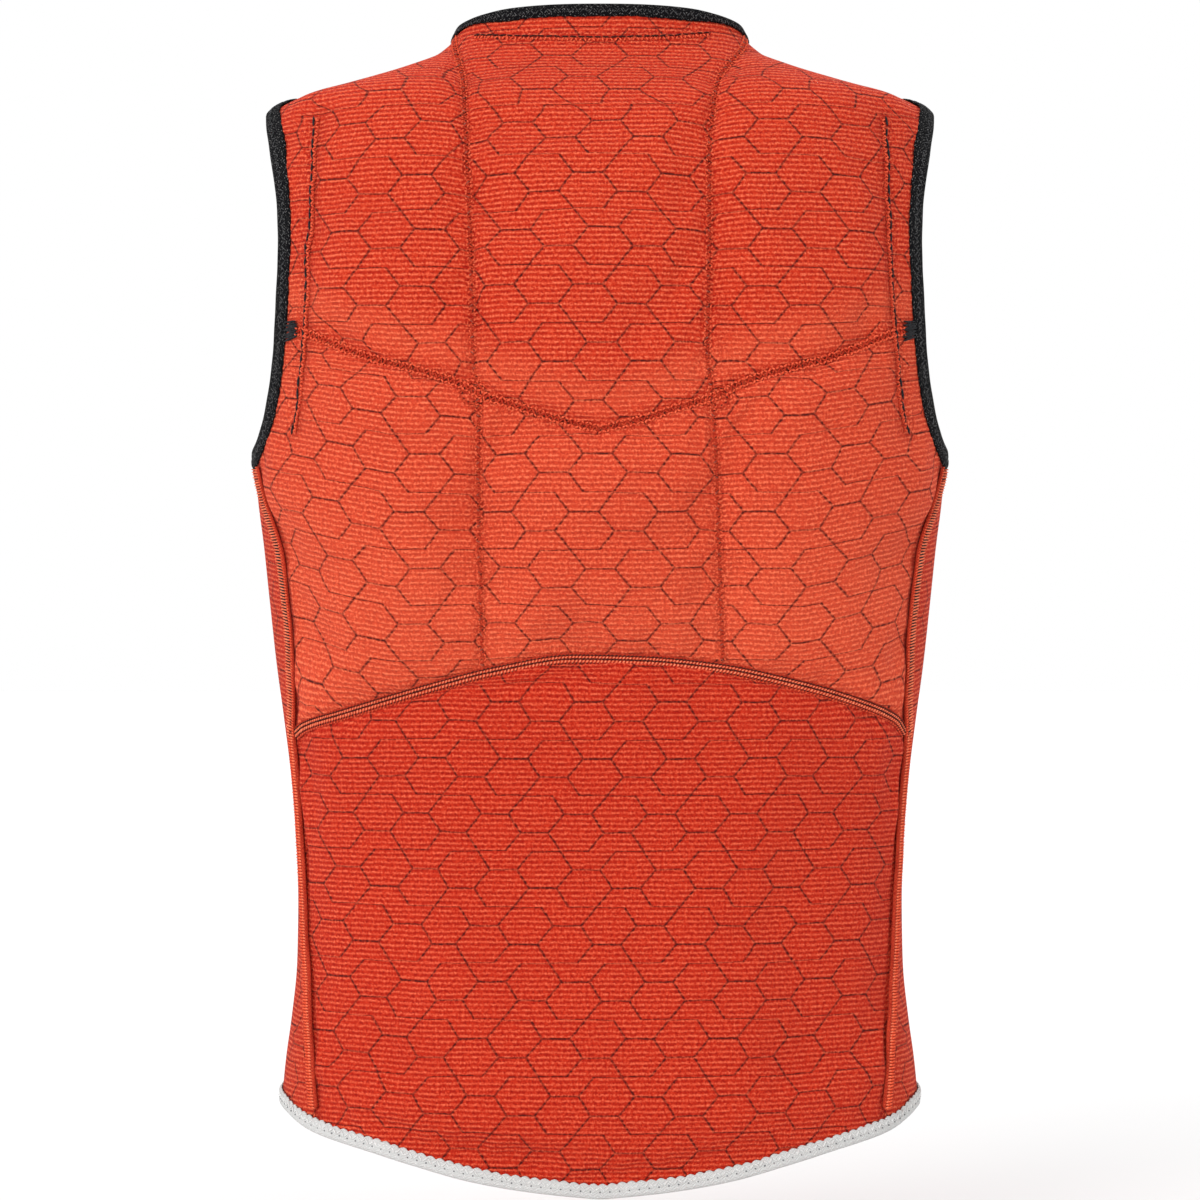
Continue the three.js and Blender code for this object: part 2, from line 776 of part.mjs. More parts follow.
// Two triangles of a four-cornered cell, split along its shorter diagonal
function cell(points, a, b, c, d) {
  const split = points[a].distanceTo(points[c]) <= points[b].distanceTo(points[d]);
  return split ? [[a, b, c], [a, c, d]] : [[a, b, d], [b, c, d]];
}

// Panel of cloth: an outer face with its pads, an inner face one wall further in
function panel(name, grid, lift, material) {
  const rows = grid.length;
  const columns = grid[0].length;
  const points = [];
  for (const face of [0, 1]) {
    grid.forEach((row, i) => row.forEach((p, j) => {
      const offset = face === 0 ? lift[i][j] : -WALL;
      points.push(p.clone().addScaledVector(thicknessWay(p), offset));
    }));
  }
  const at = (face, i, j) => face * rows * columns + i * columns + j;
  const triangles = [];
  const quad = (a, b, c, d) => triangles.push(...cell(points, a, b, c, d));
  for (let i = 0; i < rows - 1; i += 1) {
    for (let j = 0; j < columns - 1; j += 1) {
      quad(at(0, i, j), at(0, i, j + 1), at(0, i + 1, j + 1), at(0, i + 1, j));
      quad(at(1, i, j), at(1, i + 1, j), at(1, i + 1, j + 1), at(1, i, j + 1));
    }
  }
  for (let j = 0; j < columns - 1; j += 1) {
    quad(at(0, 0, j), at(1, 0, j), at(1, 0, j + 1), at(0, 0, j + 1));
    quad(at(0, rows - 1, j + 1), at(1, rows - 1, j + 1), at(1, rows - 1, j), at(0, rows - 1, j));
  }
  for (let i = 0; i < rows - 1; i += 1) {
    quad(at(0, i + 1, 0), at(1, i + 1, 0), at(1, i, 0), at(0, i, 0));
    const j = columns - 1;
    quad(at(0, i, j), at(1, i, j), at(1, i + 1, j), at(0, i + 1, j));
  }
  return solid(name, points, triangles, material);
}

// Strip with one cross-section along stations; profile is [way in, outward]
function strip(name, stations, profile, closed, material) {
  const n = stations.length;
  const m = profile.length;
  const points = stations.flatMap((s) => profile.map(([d, h]) => (
    s.p.clone().addScaledVector(s.inward, d).addScaledVector(s.normal, h)
  )));
  const triangles = [];
  for (let i = 0; i < (closed ? n : n - 1); i += 1) {
    const next = (i + 1) % n;
    for (let k = 0; k < m; k += 1) {
      const l = (k + 1) % m;
      triangles.push(...cell(points, i * m + k, i * m + l, next * m + l, next * m + k));
    }
  }
  if (!closed) {
    for (let k = 1; k < m - 1; k += 1) {
      triangles.push([0, k + 1, k]);
      triangles.push([(n - 1) * m, (n - 1) * m + k, (n - 1) * m + k + 1]);
    }
  }
  return solid(name, points, triangles, material);
}

function openStations(points) {
  return points.map((p, i) => {
    const normal = normalAt(p);
    const along = points[Math.min(i + 1, points.length - 1)].clone().sub(points[Math.max(i - 1, 0)]);
    along.addScaledVector(normal, -along.dot(normal)).normalize();
    return { p, normal, inward: new THREE.Vector3().crossVectors(along, normal) };
  });
}

// Materials
const lining = new THREE.MeshStandardMaterial({ color: 0xcf4a31, roughness: 0.95, metalness: 0 });
const blackBinding = new THREE.MeshStandardMaterial({ color: 0x333335, roughness: 0.85, metalness: 0 });
const whiteBinding = new THREE.MeshStandardMaterial({ color: 0xdededc, roughness: 0.85, metalness: 0 });
const seamThread = new THREE.MeshStandardMaterial({ color: 0xd8563c, roughness: 0.9, metalness: 0 });
const tackThread = new THREE.MeshStandardMaterial({ color: 0x1c1c1e, roughness: 0.8, metalness: 0 });

function backLowerPanel() {
  const grid = setBorders(patch(hemBack, waistColumns, left.low, right.low));
  const rows = LOWER_CELLS;
  const columns = HEM_BACK_CELLS;
  openSeams(grid, [
    ...span(0, columns).map((j) => [rows, j, rows - 1, j]),
    ...span(0, rows).map((i) => [i, 0, i, 1]),
    ...span(0, rows).map((i) => [i, columns, i, columns - 1]),
  ]);
  const lift = padLift(grid, [1, rows - 1], [1, columns - 1], LUMBAR_LIFT);
  return panel('back_lower_panel', grid, lift, lining);
}

function channelLow(total) {
  const split = total * (left.underBack.z - WAIST_SEAM_HEIGHT) / (left.yokeEnd.z - WAIST_SEAM_HEIGHT);
  const below = spaced(WAIST_CELLS, BORDER, BORDER)(split);
  const above = spaced(UNDERARM_CELLS, 0, GROOVE)(total - split);
  return [...below, ...above.slice(1).map((length) => length + split)];
}

function backUpperPanel() {
  const high = spaced(YOKE_CELLS, GROOVE, BORDER);
  const lineLeft = [pointsAt(channelLeftLow, channelLow), pointsAt(channelLeftHigh, high)];
  const lineRight = [pointsAt(channelRightLow, channelLow), pointsAt(channelRightHigh, high)];
  const edge = (lines) => [[...lines.high, ...lines.armLow.slice(1)], lines.armHigh];
  const edgeLeft = edge(left);
  const edgeRight = edge(right);
  const bands = [
    [waistStations, yokeStations],
    [yokeStations, { left: left.ridge, middle: neckBack, right: right.ridge.slice().reverse() }],
  ].map(([bottom, top], k) => joinAcross(
    joinAcross(
      patch(bottom.left, top.left, edgeLeft[k], lineLeft[k]),
      patch(bottom.middle, top.middle, lineLeft[k], lineRight[k]),
    ),
    patch(bottom.right, top.right, lineRight[k], edgeRight[k]),
  ));
  const grid = setBorders(joinUp(bands[0], bands[1]));
  const rows = grid.length - 1;
  const columns = HEM_BACK_CELLS;
  const underarm = WAIST_CELLS;
  const yoke = WAIST_CELLS + UNDERARM_CELLS;
  const ridge = [...span(0, FLANK_CELLS), ...span(columns - FLANK_CELLS, columns)];
  openSeams(grid, [
    ...span(0, columns).map((j) => [0, j, 1, j]),
    ...ridge.map((j) => [rows, j, rows - 1, j]),
    ...span(0, underarm).map((i) => [i, 0, i, 1]),
    ...span(0, underarm).map((i) => [i, columns, i, columns - 1]),
  ]);
  const stillColumns = [1, FLANK_CELLS, columns - FLANK_CELLS, columns - 1];
  const lift = padLift(grid, [1, yoke, rows - 1], stillColumns, PAD_LIFT, SHOULDER_FADE);
  return panel('back_upper_panel', grid, lift, lining);
}

function sidePanel(name, lines, hem) {
  const back = [...lines.low, ...lines.high.slice(1)];
  const grid = setBorders(patch(hem, lines.armUnder, back, lines.front));
  const rows = grid.length - 1;
  openSeams(grid, [
    ...span(0, rows).map((i) => [i, 0, i, 1]),
    ...span(0, rows).map((i) => [i, SIDE_CELLS, i, SIDE_CELLS - 1]),
  ]);
  return panel(name, grid, grid.map((row) => row.map(() => 0)), lining);
}

function frontPanel() {
  const edge = (lines) => [...lines.front, ...lines.armFront.slice(1)];
  const top = [
    ...left.ridge,
    ...neckFront.slice(1),
    ...right.ridge.slice().reverse().slice(1),
  ];
  const grid = setBorders(patch(hemFront, top, edge(left), edge(right)));
  const rows = grid.length - 1;
  const columns = FRONT_CELLS;
  const underarm = LOWER_CELLS + WAIST_CELLS;
  const ridge = [...span(0, FLANK_CELLS), ...span(columns - FLANK_CELLS, columns)];
  openSeams(grid, [
    ...ridge.map((j) => [rows, j, rows - 1, j]),
    ...span(0, underarm).map((i) => [i, 0, i, 1]),
    ...span(0, underarm).map((i) => [i, columns, i, columns - 1]),
  ]);
  return panel('front_panel', grid, grid.map((row) => row.map(() => 0)), lining);
}

// Binding folded over an edge: outer leg, fold, inner leg
function binding(name, rim, width, out, under, material) {
  const inside = -WALL - under;
  const fold = -BINDING_CLEAR_EDGE;
  const profile = [
    [width, out],
    [fold, out],
    [fold, inside],
    [width, inside],
    [width, inside - BINDING_WALL],
    [fold - BINDING_WALL * 0.3, inside - BINDING_WALL],
    [fold - BINDING_WALL, mix(inside, out, 0.25)],
    [fold - BINDING_WALL, mix(inside, out, 0.75)],
    [fold - BINDING_WALL * 0.3, out + BINDING_WALL],
    [width, out + BINDING_WALL],
  ];
  return strip(name, rim, profile, true, material);
}

const wideBinding = (name, rim, material) => (
  binding(name, rim, BINDING_WIDTH, BINDING_CLEAR_OUT, BINDING_CLEAR_IN, material)
);

// Overlocked seam standing on the cloth, its ends held back from the bindings
function seamRidge(name, whole) {
  const points = whole.slice();
  const last = points.length - 1;
  const pull = (end, inner) => end.clone().lerp(inner, SEAM_PULL / end.distanceTo(inner));
  points[0] = pull(whole[0], whole[1]);
  points[last] = pull(whole[last], whole[last - 1]);
  const low = SEAM_CLEAR;
  const r = RIDGE_HALF_WIDTH;
  const profile = [
    [-r, low],
    [r, low],
    [r, low + RIDGE_HEIGHT * 0.5],
    [r * 0.5, low + RIDGE_HEIGHT],
    [-r * 0.5, low + RIDGE_HEIGHT],
    [-r, low + RIDGE_HEIGHT * 0.5],
  ];
  return strip(name, openStations(points), profile, false, seamThread);
}

function waistSeam() {
  const margin = RIDGE_HALF_WIDTH + FLATLOCK_HALF_WIDTH + 1;
  const inner = waistColumns.slice(1, -1);
  const first = waistColumns[0].clone().lerp(inner[0], margin / BORDER);
  const last = waistColumns[waistColumns.length - 1].clone().lerp(inner[inner.length - 1], margin / BORDER);
  const w = FLATLOCK_HALF_WIDTH;
  const profile = [
    [-w, SEAM_CLEAR],
    [w, SEAM_CLEAR],
    [w * 0.8, SEAM_CLEAR + FLATLOCK_HEIGHT * 0.8],
    [0, SEAM_CLEAR + FLATLOCK_HEIGHT],
    [-w * 0.8, SEAM_CLEAR + FLATLOCK_HEIGHT * 0.8],
  ];
  return strip('waist_seam', openStations([first, ...inner, last]), profile, false, seamThread);
}

// Bar tack across the inner edge of an armhole binding, where the yoke seam ends
function bartack(name, rim, end) {
  const station = rim.find((r) => r.p.distanceTo(end) < NEAR);
  const at = rim.indexOf(station);
  const along = rim[(at + 1) % rim.length].p.clone().sub(rim[(at + rim.length - 1) % rim.length].p);
  along.addScaledVector(station.normal, -along.dot(station.normal)).normalize();
  const floor = BINDING_CLEAR_OUT + BINDING_WALL + TACK_CLEAR;
  const corner = (d, s, h) => station.p.clone()
    .addScaledVector(station.inward, TACK_INSET + d * TACK_WIDTH)
    .addScaledVector(along, (s - 0.5) * TACK_LENGTH)
    .addScaledVector(station.normal, floor + h * TACK_HEIGHT);
  const points = span(0, 7).map((k) => corner(k & 1, (k >> 1) & 1, k >> 2));
  const triangles = [
    [0, 2, 1], [1, 2, 3],
    [4, 5, 6], [5, 7, 6],
    [0, 1, 4], [1, 5, 4],
    [2, 6, 3], [3, 6, 7],
    [0, 4, 2], [2, 4, 6],
    [1, 3, 5], [3, 7, 5],
  ];
  return solid(name, points, triangles, tackThread);
}

const vest = new THREE.Group();
vest.name = 'vest';
vest.position.z = -STRAP_HEIGHT;
vest.add(
  backUpperPanel(),
  backLowerPanel(),
  sidePanel('side_panel_left', left, hemLeft),
  sidePanel('side_panel_right', right, hemRight),
  frontPanel(),
  binding('neck_binding', rimNeck, NECK_BINDING_WIDTH, NECK_CLEAR_OUT, NECK_CLEAR_IN, blackBinding),
  wideBinding('armhole_binding_left', rimLeft, blackBinding),
  wideBinding('armhole_binding_right', rimRight, blackBinding),
  wideBinding('hem_binding', rimHem, whiteBinding),
  seamRidge('back_side_seam_left', [...left.low.slice(1), ...left.high.slice(1, -1)]),
  seamRidge('back_side_seam_right', [...right.low.slice(1), ...right.high.slice(1, -1)]),
  seamRidge('front_side_seam_left', left.front.slice(1, -1)),
  seamRidge('front_side_seam_right', right.front.slice(1, -1)),
  waistSeam(),
  bartack('bartack_left', rimLeft, left.armHigh[0]),
  bartack('bartack_right', rimRight, right.armHigh[0]),
);

const impactVest = new THREE.Group();
impactVest.name = 'impact_vest';
impactVest.add(vest);

export default impactVest;
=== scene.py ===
"""Impact vest shown inside out, filled out as if worn, seen from its back."""

import math

import bpy
import numpy as np
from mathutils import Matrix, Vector
from mathutils.kdtree import KDTree


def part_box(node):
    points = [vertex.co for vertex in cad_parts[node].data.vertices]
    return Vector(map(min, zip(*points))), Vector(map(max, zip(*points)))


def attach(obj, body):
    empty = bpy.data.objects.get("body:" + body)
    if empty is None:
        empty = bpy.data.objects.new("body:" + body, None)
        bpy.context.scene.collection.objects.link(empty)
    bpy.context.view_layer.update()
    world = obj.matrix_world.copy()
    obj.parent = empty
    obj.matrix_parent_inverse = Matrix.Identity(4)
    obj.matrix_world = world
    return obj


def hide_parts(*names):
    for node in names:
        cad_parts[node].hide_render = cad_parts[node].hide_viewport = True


bl_info = {
    "name": "Impact vest",
    "version": (1, 0, 0),
    "blender": (4, 5, 0),
    "location": "3D View > Sidebar > Impact vest",
    "description": "Panels, bindings, seams and stitches of a padded impact vest",
    "category": "Object",
}

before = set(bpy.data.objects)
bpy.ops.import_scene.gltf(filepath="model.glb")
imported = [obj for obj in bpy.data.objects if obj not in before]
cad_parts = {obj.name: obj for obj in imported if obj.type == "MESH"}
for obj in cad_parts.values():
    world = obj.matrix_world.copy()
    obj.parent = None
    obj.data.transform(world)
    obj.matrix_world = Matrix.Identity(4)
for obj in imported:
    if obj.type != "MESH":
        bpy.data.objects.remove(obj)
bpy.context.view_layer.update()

# Form of the vest, in millimetres above the lowest point of the hem
TIP_HEIGHT = 584
NECK_RISE = 47
CHEST_HALF_WIDTH = 190
CHEST_BACK_DEPTH = 118
CHEST_FRONT_DEPTH = 112
SECTION_POWER = 2.4
TIP_HALF_WIDTH = 172
TIP_BACK_DEPTH = 84
TIP_FRONT_DEPTH = 64
NECK_HALF_WIDTH = 77
NECK_BACK_DEPTH = 56
NECK_FRONT_DEPTH = 50
NECK_BACK_RISE = 9
NECK_FRONT_DROP = 77
NECKLINE_POWER = 2.2
ARMHOLE_HEIGHT = 192
ARMHOLE_BACK_REACH = 61
ARMHOLE_FRONT_REACH = 58
ARMHOLE_TOP_POWER = 2
ARMHOLE_LOW_POWER = 3.3
WAIST_SEAM_HEIGHT = 239
WAIST_SEAM_RISE = 43
YOKE_SEAM_HEIGHT = 402
YOKE_SEAM_RISE = 55
CHANNEL_OFFSET = 64
BACK_SEAM_ANGLE = 75
FRONT_SEAM_ANGLES = (116, 101)
HEM_SIDE_RISE = 41
HEM_FRONT_RISE = 30
STRAP_HEIGHT = 578
WALL = 3.5
SEAM_GAP = 0.3

# height share, half width, back depth, front depth
BODY_SECTIONS = (
    (0.000, 0.921, 0.848, 0.850),
    (0.077, 0.916, 0.848, 0.850),
    (0.140, 0.889, 0.822, 0.822),
    (0.197, 0.871, 0.788, 0.795),
    (0.253, 0.868, 0.763, 0.786),
    (0.310, 0.874, 0.746, 0.786),
    (0.366, 0.887, 0.754, 0.804),
    (0.423, 0.908, 0.788, 0.840),
    (0.479, 0.931, 0.839, 0.884),
    (0.536, 0.950, 0.890, 0.928),
    (0.592, 0.968, 0.941, 0.964),
    (0.649, 0.991, 0.983, 0.991),
    (0.676, 0.997, 0.992, 1.000),
    (0.736, 1.000, 1.000, 1.000),
    (0.822, 1.000, 0.975, 0.964),
    (0.925, 0.993, 0.890, 0.770),
    (0.959, 0.984, 0.830, 0.680),
    (0.986, 0.966, 0.763, 0.607),
)

# rise share, then width, back and front depth from the neck (0) to the tip (1)
SHOULDER_SECTIONS = (
    (0.000, 1.000, 1.00, 1.00),
    (0.090, 0.800, 0.86, 0.80),
    (0.210, 0.580, 0.66, 0.56),
    (0.360, 0.350, 0.46, 0.36),
    (0.450, 0.240, 0.36, 0.28),
    (0.580, 0.125, 0.24, 0.18),
    (0.810, 0.020, 0.08, 0.05),
    (1.000, 0.000, 0.00, 0.00),
)

# height share, angle share
BACK_SEAM = (
    (0.00, 0.76), (0.17, 0.78), (0.28, 0.83), (0.40, 0.90), (0.58, 0.97),
    (0.75, 0.995), (0.90, 0.99), (1.00, 0.975), (1.11, 0.92), (1.26, 0.885),
    (1.40, 0.89), (1.53, 0.97), (1.59, 1.015), (1.66, 1.06), (1.80, 1.08),
)

# place across the back, rise share
WAIST_SEAM = (
    (-1.00, 0.00), (-0.96, 0.13), (-0.83, 0.30), (-0.54, 0.64), (-0.33, 0.85), (-0.08, 1.00),
    (0.13, 0.98), (0.37, 0.89), (0.63, 0.68), (0.83, 0.45), (0.96, 0.22), (1.00, 0.00),
)
YOKE_SEAM = (
    (0.00, 0.00), (0.12, 0.09), (0.24, 0.21), (0.36, 0.33), (0.42, 0.43),
    (0.55, 0.57), (0.65, 0.65), (0.77, 0.78), (0.92, 0.97), (1.00, 1.00),
)

# rise share, left offset, right offset
CHANNELS = (
    (0.00, 0.96, 1.01), (0.25, 0.985, 0.96), (0.40, 0.985, 0.92), (0.48, 1.03, 0.875),
    (0.63, 1.05, 0.89), (0.79, 1.09, 0.90), (0.94, 1.15, 1.03), (1.00, 1.20, 1.20),
)

# turn from the centre back to the side, rise share
HEM = (
    (0.000, 0.00), (0.115, 0.10), (0.216, 0.215), (0.332, 0.385),
    (0.470, 0.56), (0.670, 0.74), (0.860, 0.94), (1.000, 1.00),
)


# way of laying lines and points on the form
FINE = np.linspace(0, 1, 600)
GRADIENT_STEP = 0.4
SETTLE_STEPS = 6
MEETING_STEPS, MEETING_SHARE = 30, 0.7
CHANNEL_TURN, CHANNEL_TURN_REACH = 0.9, 0.1
UV_UNIT = 100


def mix(a, b, t):
    return a + (b - a) * t


def smooth(t):
    c = np.clip(t, 0, 1)
    return c * c * (3 - 2 * c)


def bell(far, reach):
    """Bell that is 1 on a line and fades over its reach."""
    return np.exp(-(far / reach) ** 2)


def smooth_table(rows):
    """Lookup through the rows without overshoot; the first column is the position."""
    rows = np.array(rows, float)
    x, y = rows[:, 0], rows[:, 1:]
    secant = np.diff(y, axis=0) / np.diff(x)[:, None]
    slope = np.zeros_like(y)
    slope[0], slope[-1] = secant[0], secant[-1]
    before, after = secant[:-1], secant[1:]
    same = before * after > 0
    safe_before = np.where(same, before, 1)
    safe_after = np.where(same, after, 1)
    slope[1:-1] = np.where(same, 2 / (1 / safe_before + 1 / safe_after), 0)

    def look(at):
        at = np.clip(np.asarray(at, float), x[0], x[-1])
        i = np.clip(np.searchsorted(x, at, side="left") - 1, 0, len(x) - 2)
        span = (x[i + 1] - x[i])[..., None]
        t = (at - x[i])[..., None] / span
        return (
            (1 + 2 * t) * (1 - t) ** 2 * y[i]
            + t * (1 - t) ** 2 * span * slope[i]
            + t * t * (3 - 2 * t) * y[i + 1]
            + t * t * (t - 1) * span * slope[i + 1]
        )

    return look


def section_rows():
    rows = [
        (s * TIP_HEIGHT, w * CHEST_HALF_WIDTH, b * CHEST_BACK_DEPTH, f * CHEST_FRONT_DEPTH)
        for s, w, b, f in BODY_SECTIONS
    ]
    for s, w, b, f in SHOULDER_SECTIONS:
        rows.append((
            TIP_HEIGHT + s * NECK_RISE,
            mix(NECK_HALF_WIDTH, TIP_HALF_WIDTH, w),
            mix(NECK_BACK_DEPTH, TIP_BACK_DEPTH, b),
            mix(NECK_FRONT_DEPTH, TIP_FRONT_DEPTH, f),
        ))
    return rows


section_at = smooth_table(section_rows())
back_seam_at = smooth_table(BACK_SEAM)
waist_seam_at = smooth_table(WAIST_SEAM)
yoke_seam_at = smooth_table(YOKE_SEAM)
channel_at = smooth_table(CHANNELS)
hem_at = smooth_table(HEM)


def form_at(turn, z):
    """Points of the body form; turn 0 is the centre back, 90 the side, 180 the chest."""
    turn, z = np.broadcast_arrays(np.radians(turn), np.asarray(z, float))
    width, back, front = np.moveaxis(section_at(z), -1, 0)
    s, c = np.sin(turn), np.cos(turn)
    power = 2 / SECTION_POWER
    x = np.sign(s) * width * np.abs(s) ** power
    y = np.where(c > 0, -back, front) * np.abs(c) ** power
    return np.stack([x, y, z], -1)


def face_at(x, z, face):
    """Points of the form at a place across it, on the back (-1) or the chest (1)."""
    x, z = np.broadcast_arrays(np.asarray(x, float), np.asarray(z, float))
    width, back, front = np.moveaxis(section_at(z), -1, 0)
    share = np.minimum(np.abs(x) / width, 1)
    depth = -back if face < 0 else front
    y = depth * (1 - share ** SECTION_POWER) ** (1 / SECTION_POWER)
    return np.stack([np.sign(x) * share * width, y, z], -1)


def form_value(p):
    width, back, front = np.moveaxis(section_at(p[..., 2]), -1, 0)
    depth = np.where(p[..., 1] < 0, back, front)
    total = (np.abs(p[..., 0]) / width) ** SECTION_POWER
    total = total + (np.abs(p[..., 1]) / depth) ** SECTION_POWER
    return total ** (1 / SECTION_POWER) - 1


def form_gradient(p):
    parts = []
    for axis in range(3):
        shift = np.zeros(3)
        shift[axis] = GRADIENT_STEP
        parts.append((form_value(p + shift) - form_value(p - shift)) / (2 * GRADIENT_STEP))
    return np.stack(parts, -1)


def settle(p):
    """Moves points onto the form, along its normal."""
    p = np.array(p, float)
    for _ in range(SETTLE_STEPS):
        g = form_gradient(p)
        p = p - g * (form_value(p) / (g * g).sum(-1))[..., None]
    return p


def unit(v):
    return v / np.maximum(np.linalg.norm(v, axis=-1, keepdims=True), 1e-12)


def normal_at(p):
    return unit(form_gradient(p))


def run_of(line):
    steps = np.linalg.norm(np.diff(line, axis=0), axis=-1)
    return np.concatenate([[0], np.cumsum(steps)])


def points_at(line, lengths):
    run = run_of(line)
    return settle(np.stack([np.interp(lengths, run, line[:, k]) for k in range(3)], -1))


def even(line, cells, crowd=0.0):
    """Stations along a line; crowd, from 0 to 1, draws them closer together at its ends."""
    t = np.linspace(0, 1, cells + 1)
    t = t - crowd * np.sin(2 * math.pi * t) / (2 * math.pi)
    return points_at(line, run_of(line)[-1] * t)


def armhole_line(side, start, end):
    """The armhole edge between two turns: 0 top, 90 back, 180 bottom, 270 front."""
    turn = np.radians(mix(start, end, FINE))
    c, s = np.cos(turn), np.sin(turn)
    power = 2 / np.where(c > 0, ARMHOLE_TOP_POWER, ARMHOLE_LOW_POWER)
    z = TIP_HEIGHT - ARMHOLE_HEIGHT / 2 + np.sign(c) * np.abs(c) ** power * ARMHOLE_HEIGHT / 2
    reach = np.abs(s) ** power
    y = np.where(s > 0, -reach * ARMHOLE_BACK_REACH, reach * ARMHOLE_FRONT_REACH)
    width, back, front = np.moveaxis(section_at(z), -1, 0)
    share = np.abs(y) / np.where(y < 0, back, front)
    x = width * (1 - share ** SECTION_POWER) ** (1 / SECTION_POWER)
    return np.stack([side * x, y, z], -1)


def back_seam_line(side, low, high):
    z = mix(low, high, FINE)
    return form_at(side * BACK_SEAM_ANGLE * back_seam_at(z / WAIST_SEAM_HEIGHT)[..., 0], z)


def front_seam_line(side, low, high):
    z = mix(low, high, FINE)
    return form_at(side * mix(*FRONT_SEAM_ANGLES, z / (TIP_HEIGHT - ARMHOLE_HEIGHT)), z)


def hem_height(turn):
    turn = np.abs(np.asarray(turn, float))
    share = np.minimum(turn, 360 - turn) / 90
    side = HEM_SIDE_RISE * hem_at(np.minimum(share, 1))[..., 0]
    return np.where(share <= 1, side, mix(HEM_SIDE_RISE, HEM_FRONT_RISE, smooth(share - 1)))


def turn_of(p):
    width, back, front = section_at(p[2])
    along = (abs(p[0]) / width) ** (SECTION_POWER / 2)
    across = (abs(p[1]) / (back if p[1] < 0 else front)) ** (SECTION_POWER / 2)
    return math.copysign(math.degrees(math.atan2(along, across if p[1] < 0 else -across)), p[0])


def hem_line(start, end):
    turn = mix(start, end, FINE)
    return form_at(turn, hem_height(turn))


def hem_meeting(seam, side):
    z = 0.0
    for _ in range(MEETING_STEPS):
        z = mix(z, float(hem_height(turn_of(seam(side, z, z)[0]))), MEETING_SHARE)
    return z


def crossing(line, test):
    """First index of a line where the test turns true."""
    return int(np.argmax(test(line)))


NECK_TOP = TIP_HEIGHT + NECK_RISE


def neck_back_line():
    turn = mix(-90, 90, FINE)
    rise = np.abs(np.cos(np.radians(turn))) ** 0.8
    return form_at(turn, NECK_TOP - NECK_BACK_RISE * (1 - rise))


def neck_front_line():
    turn = np.radians(mix(-90, 90, FINE))
    power = 2 / NECKLINE_POWER
    width = section_at(NECK_TOP - NECK_BACK_RISE)[0]
    x = np.sign(np.sin(turn)) * width * np.abs(np.sin(turn)) ** power
    drop = np.abs(np.cos(turn)) ** power
    return face_at(x, NECK_TOP - NECK_BACK_RISE - NECK_FRONT_DROP * drop, 1)


def waist_line():
    place = mix(-1, 1, FINE)
    z = WAIST_SEAM_HEIGHT + WAIST_SEAM_RISE * waist_seam_at(place)[..., 0]
    reach = np.abs(form_at(BACK_SEAM_ANGLE * back_seam_at(z / WAIST_SEAM_HEIGHT)[..., 0], z)[..., 0])
    end = abs(back_seam_line(1, WAIST_SEAM_HEIGHT, WAIST_SEAM_HEIGHT)[0][0])
    return face_at(place * mix(reach, end, np.abs(place) ** 6), z, -1)


def side_meeting(side, seam, turn, sign):
    """Turn of the armhole edge where a side seam meets it."""
    edge, line = armhole_line(side, 180, turn), seam(side, 0, YOKE_SEAM_HEIGHT)
    limit = np.interp(edge[:, 2], line[:, 2], line[:, 1])
    return mix(180, turn, FINE[crossing(edge, lambda p: (p[:, 1] - limit) * sign >= 0)])


class SideLines:
    """Seams and edges of one side of the vest."""

    def __init__(self, side):
        turn_back = side_meeting(side, back_seam_line, 90, -1)
        turn_front = side_meeting(side, front_seam_line, 270, 1)
        yoke_end = crossing(armhole_line(side, 180, 90), lambda p: p[:, 2] >= YOKE_SEAM_HEIGHT + YOKE_SEAM_RISE)
        turn_yoke = mix(180, 90, FINE[yoke_end])
        corner, front_corner = (armhole_line(side, turn, turn)[0] for turn in (turn_back, turn_front))
        self.low = back_seam_line(side, hem_meeting(back_seam_line, side), WAIST_SEAM_HEIGHT)
        self.high = back_seam_line(side, WAIST_SEAM_HEIGHT, corner[2])
        self.back = joined(self.low, self.high)
        self.front = front_seam_line(side, hem_meeting(front_seam_line, side), front_corner[2])
        self.arm_low = armhole_line(side, turn_back, turn_yoke)
        self.arm_high = armhole_line(side, turn_yoke, 0)
        self.arm_under = armhole_line(side, turn_back, turn_front)
        self.arm_front = armhole_line(side, turn_front, 360)
        self.ridge = form_at(side * 90, mix(TIP_HEIGHT, NECK_TOP - NECK_BACK_RISE, FINE))
        self.rim = armhole_line(side, 0, 360)[:-1]


def joined(first, second):
    return np.concatenate([first, second[1:]])


left, right = SideLines(-1), SideLines(1)


def yoke_line():
    place = mix(-1, 1, FINE)
    end = abs(left.arm_high[0][0])
    return face_at(place * end, YOKE_SEAM_HEIGHT + YOKE_SEAM_RISE * yoke_seam_at(np.abs(place))[..., 0], -1)


def channel_line(side):
    top = form_at(side * 90, NECK_TOP - NECK_BACK_RISE)
    column = 0 if side < 0 else 1
    line = waist_line()
    start = side * CHANNEL_OFFSET * channel_at(0.0)[column]
    foot = line[np.argmin(np.abs(line[:, 0] - start))][2]
    share = 1 - (1 - FINE) ** 2
    turned = smooth((share - CHANNEL_TURN) / CHANNEL_TURN_REACH)
    x = mix(side * CHANNEL_OFFSET * channel_at(share)[..., column], top[0], turned)
    points = face_at(x, mix(foot, top[2], share), -1)
    points[-1] = top
    return points


# height above the hem, distance from the middle
ARM_STITCH = ((404, 163), (418, 160), (455, 157), (477, 155), (568, 152))
COLLAR_STITCH = ((-66, 617.5), (-40, 615), (0, 613.7), (35, 615), (57, 618))
KNOT_RADIUS = 5.5
KNOT_SHIFT = 3


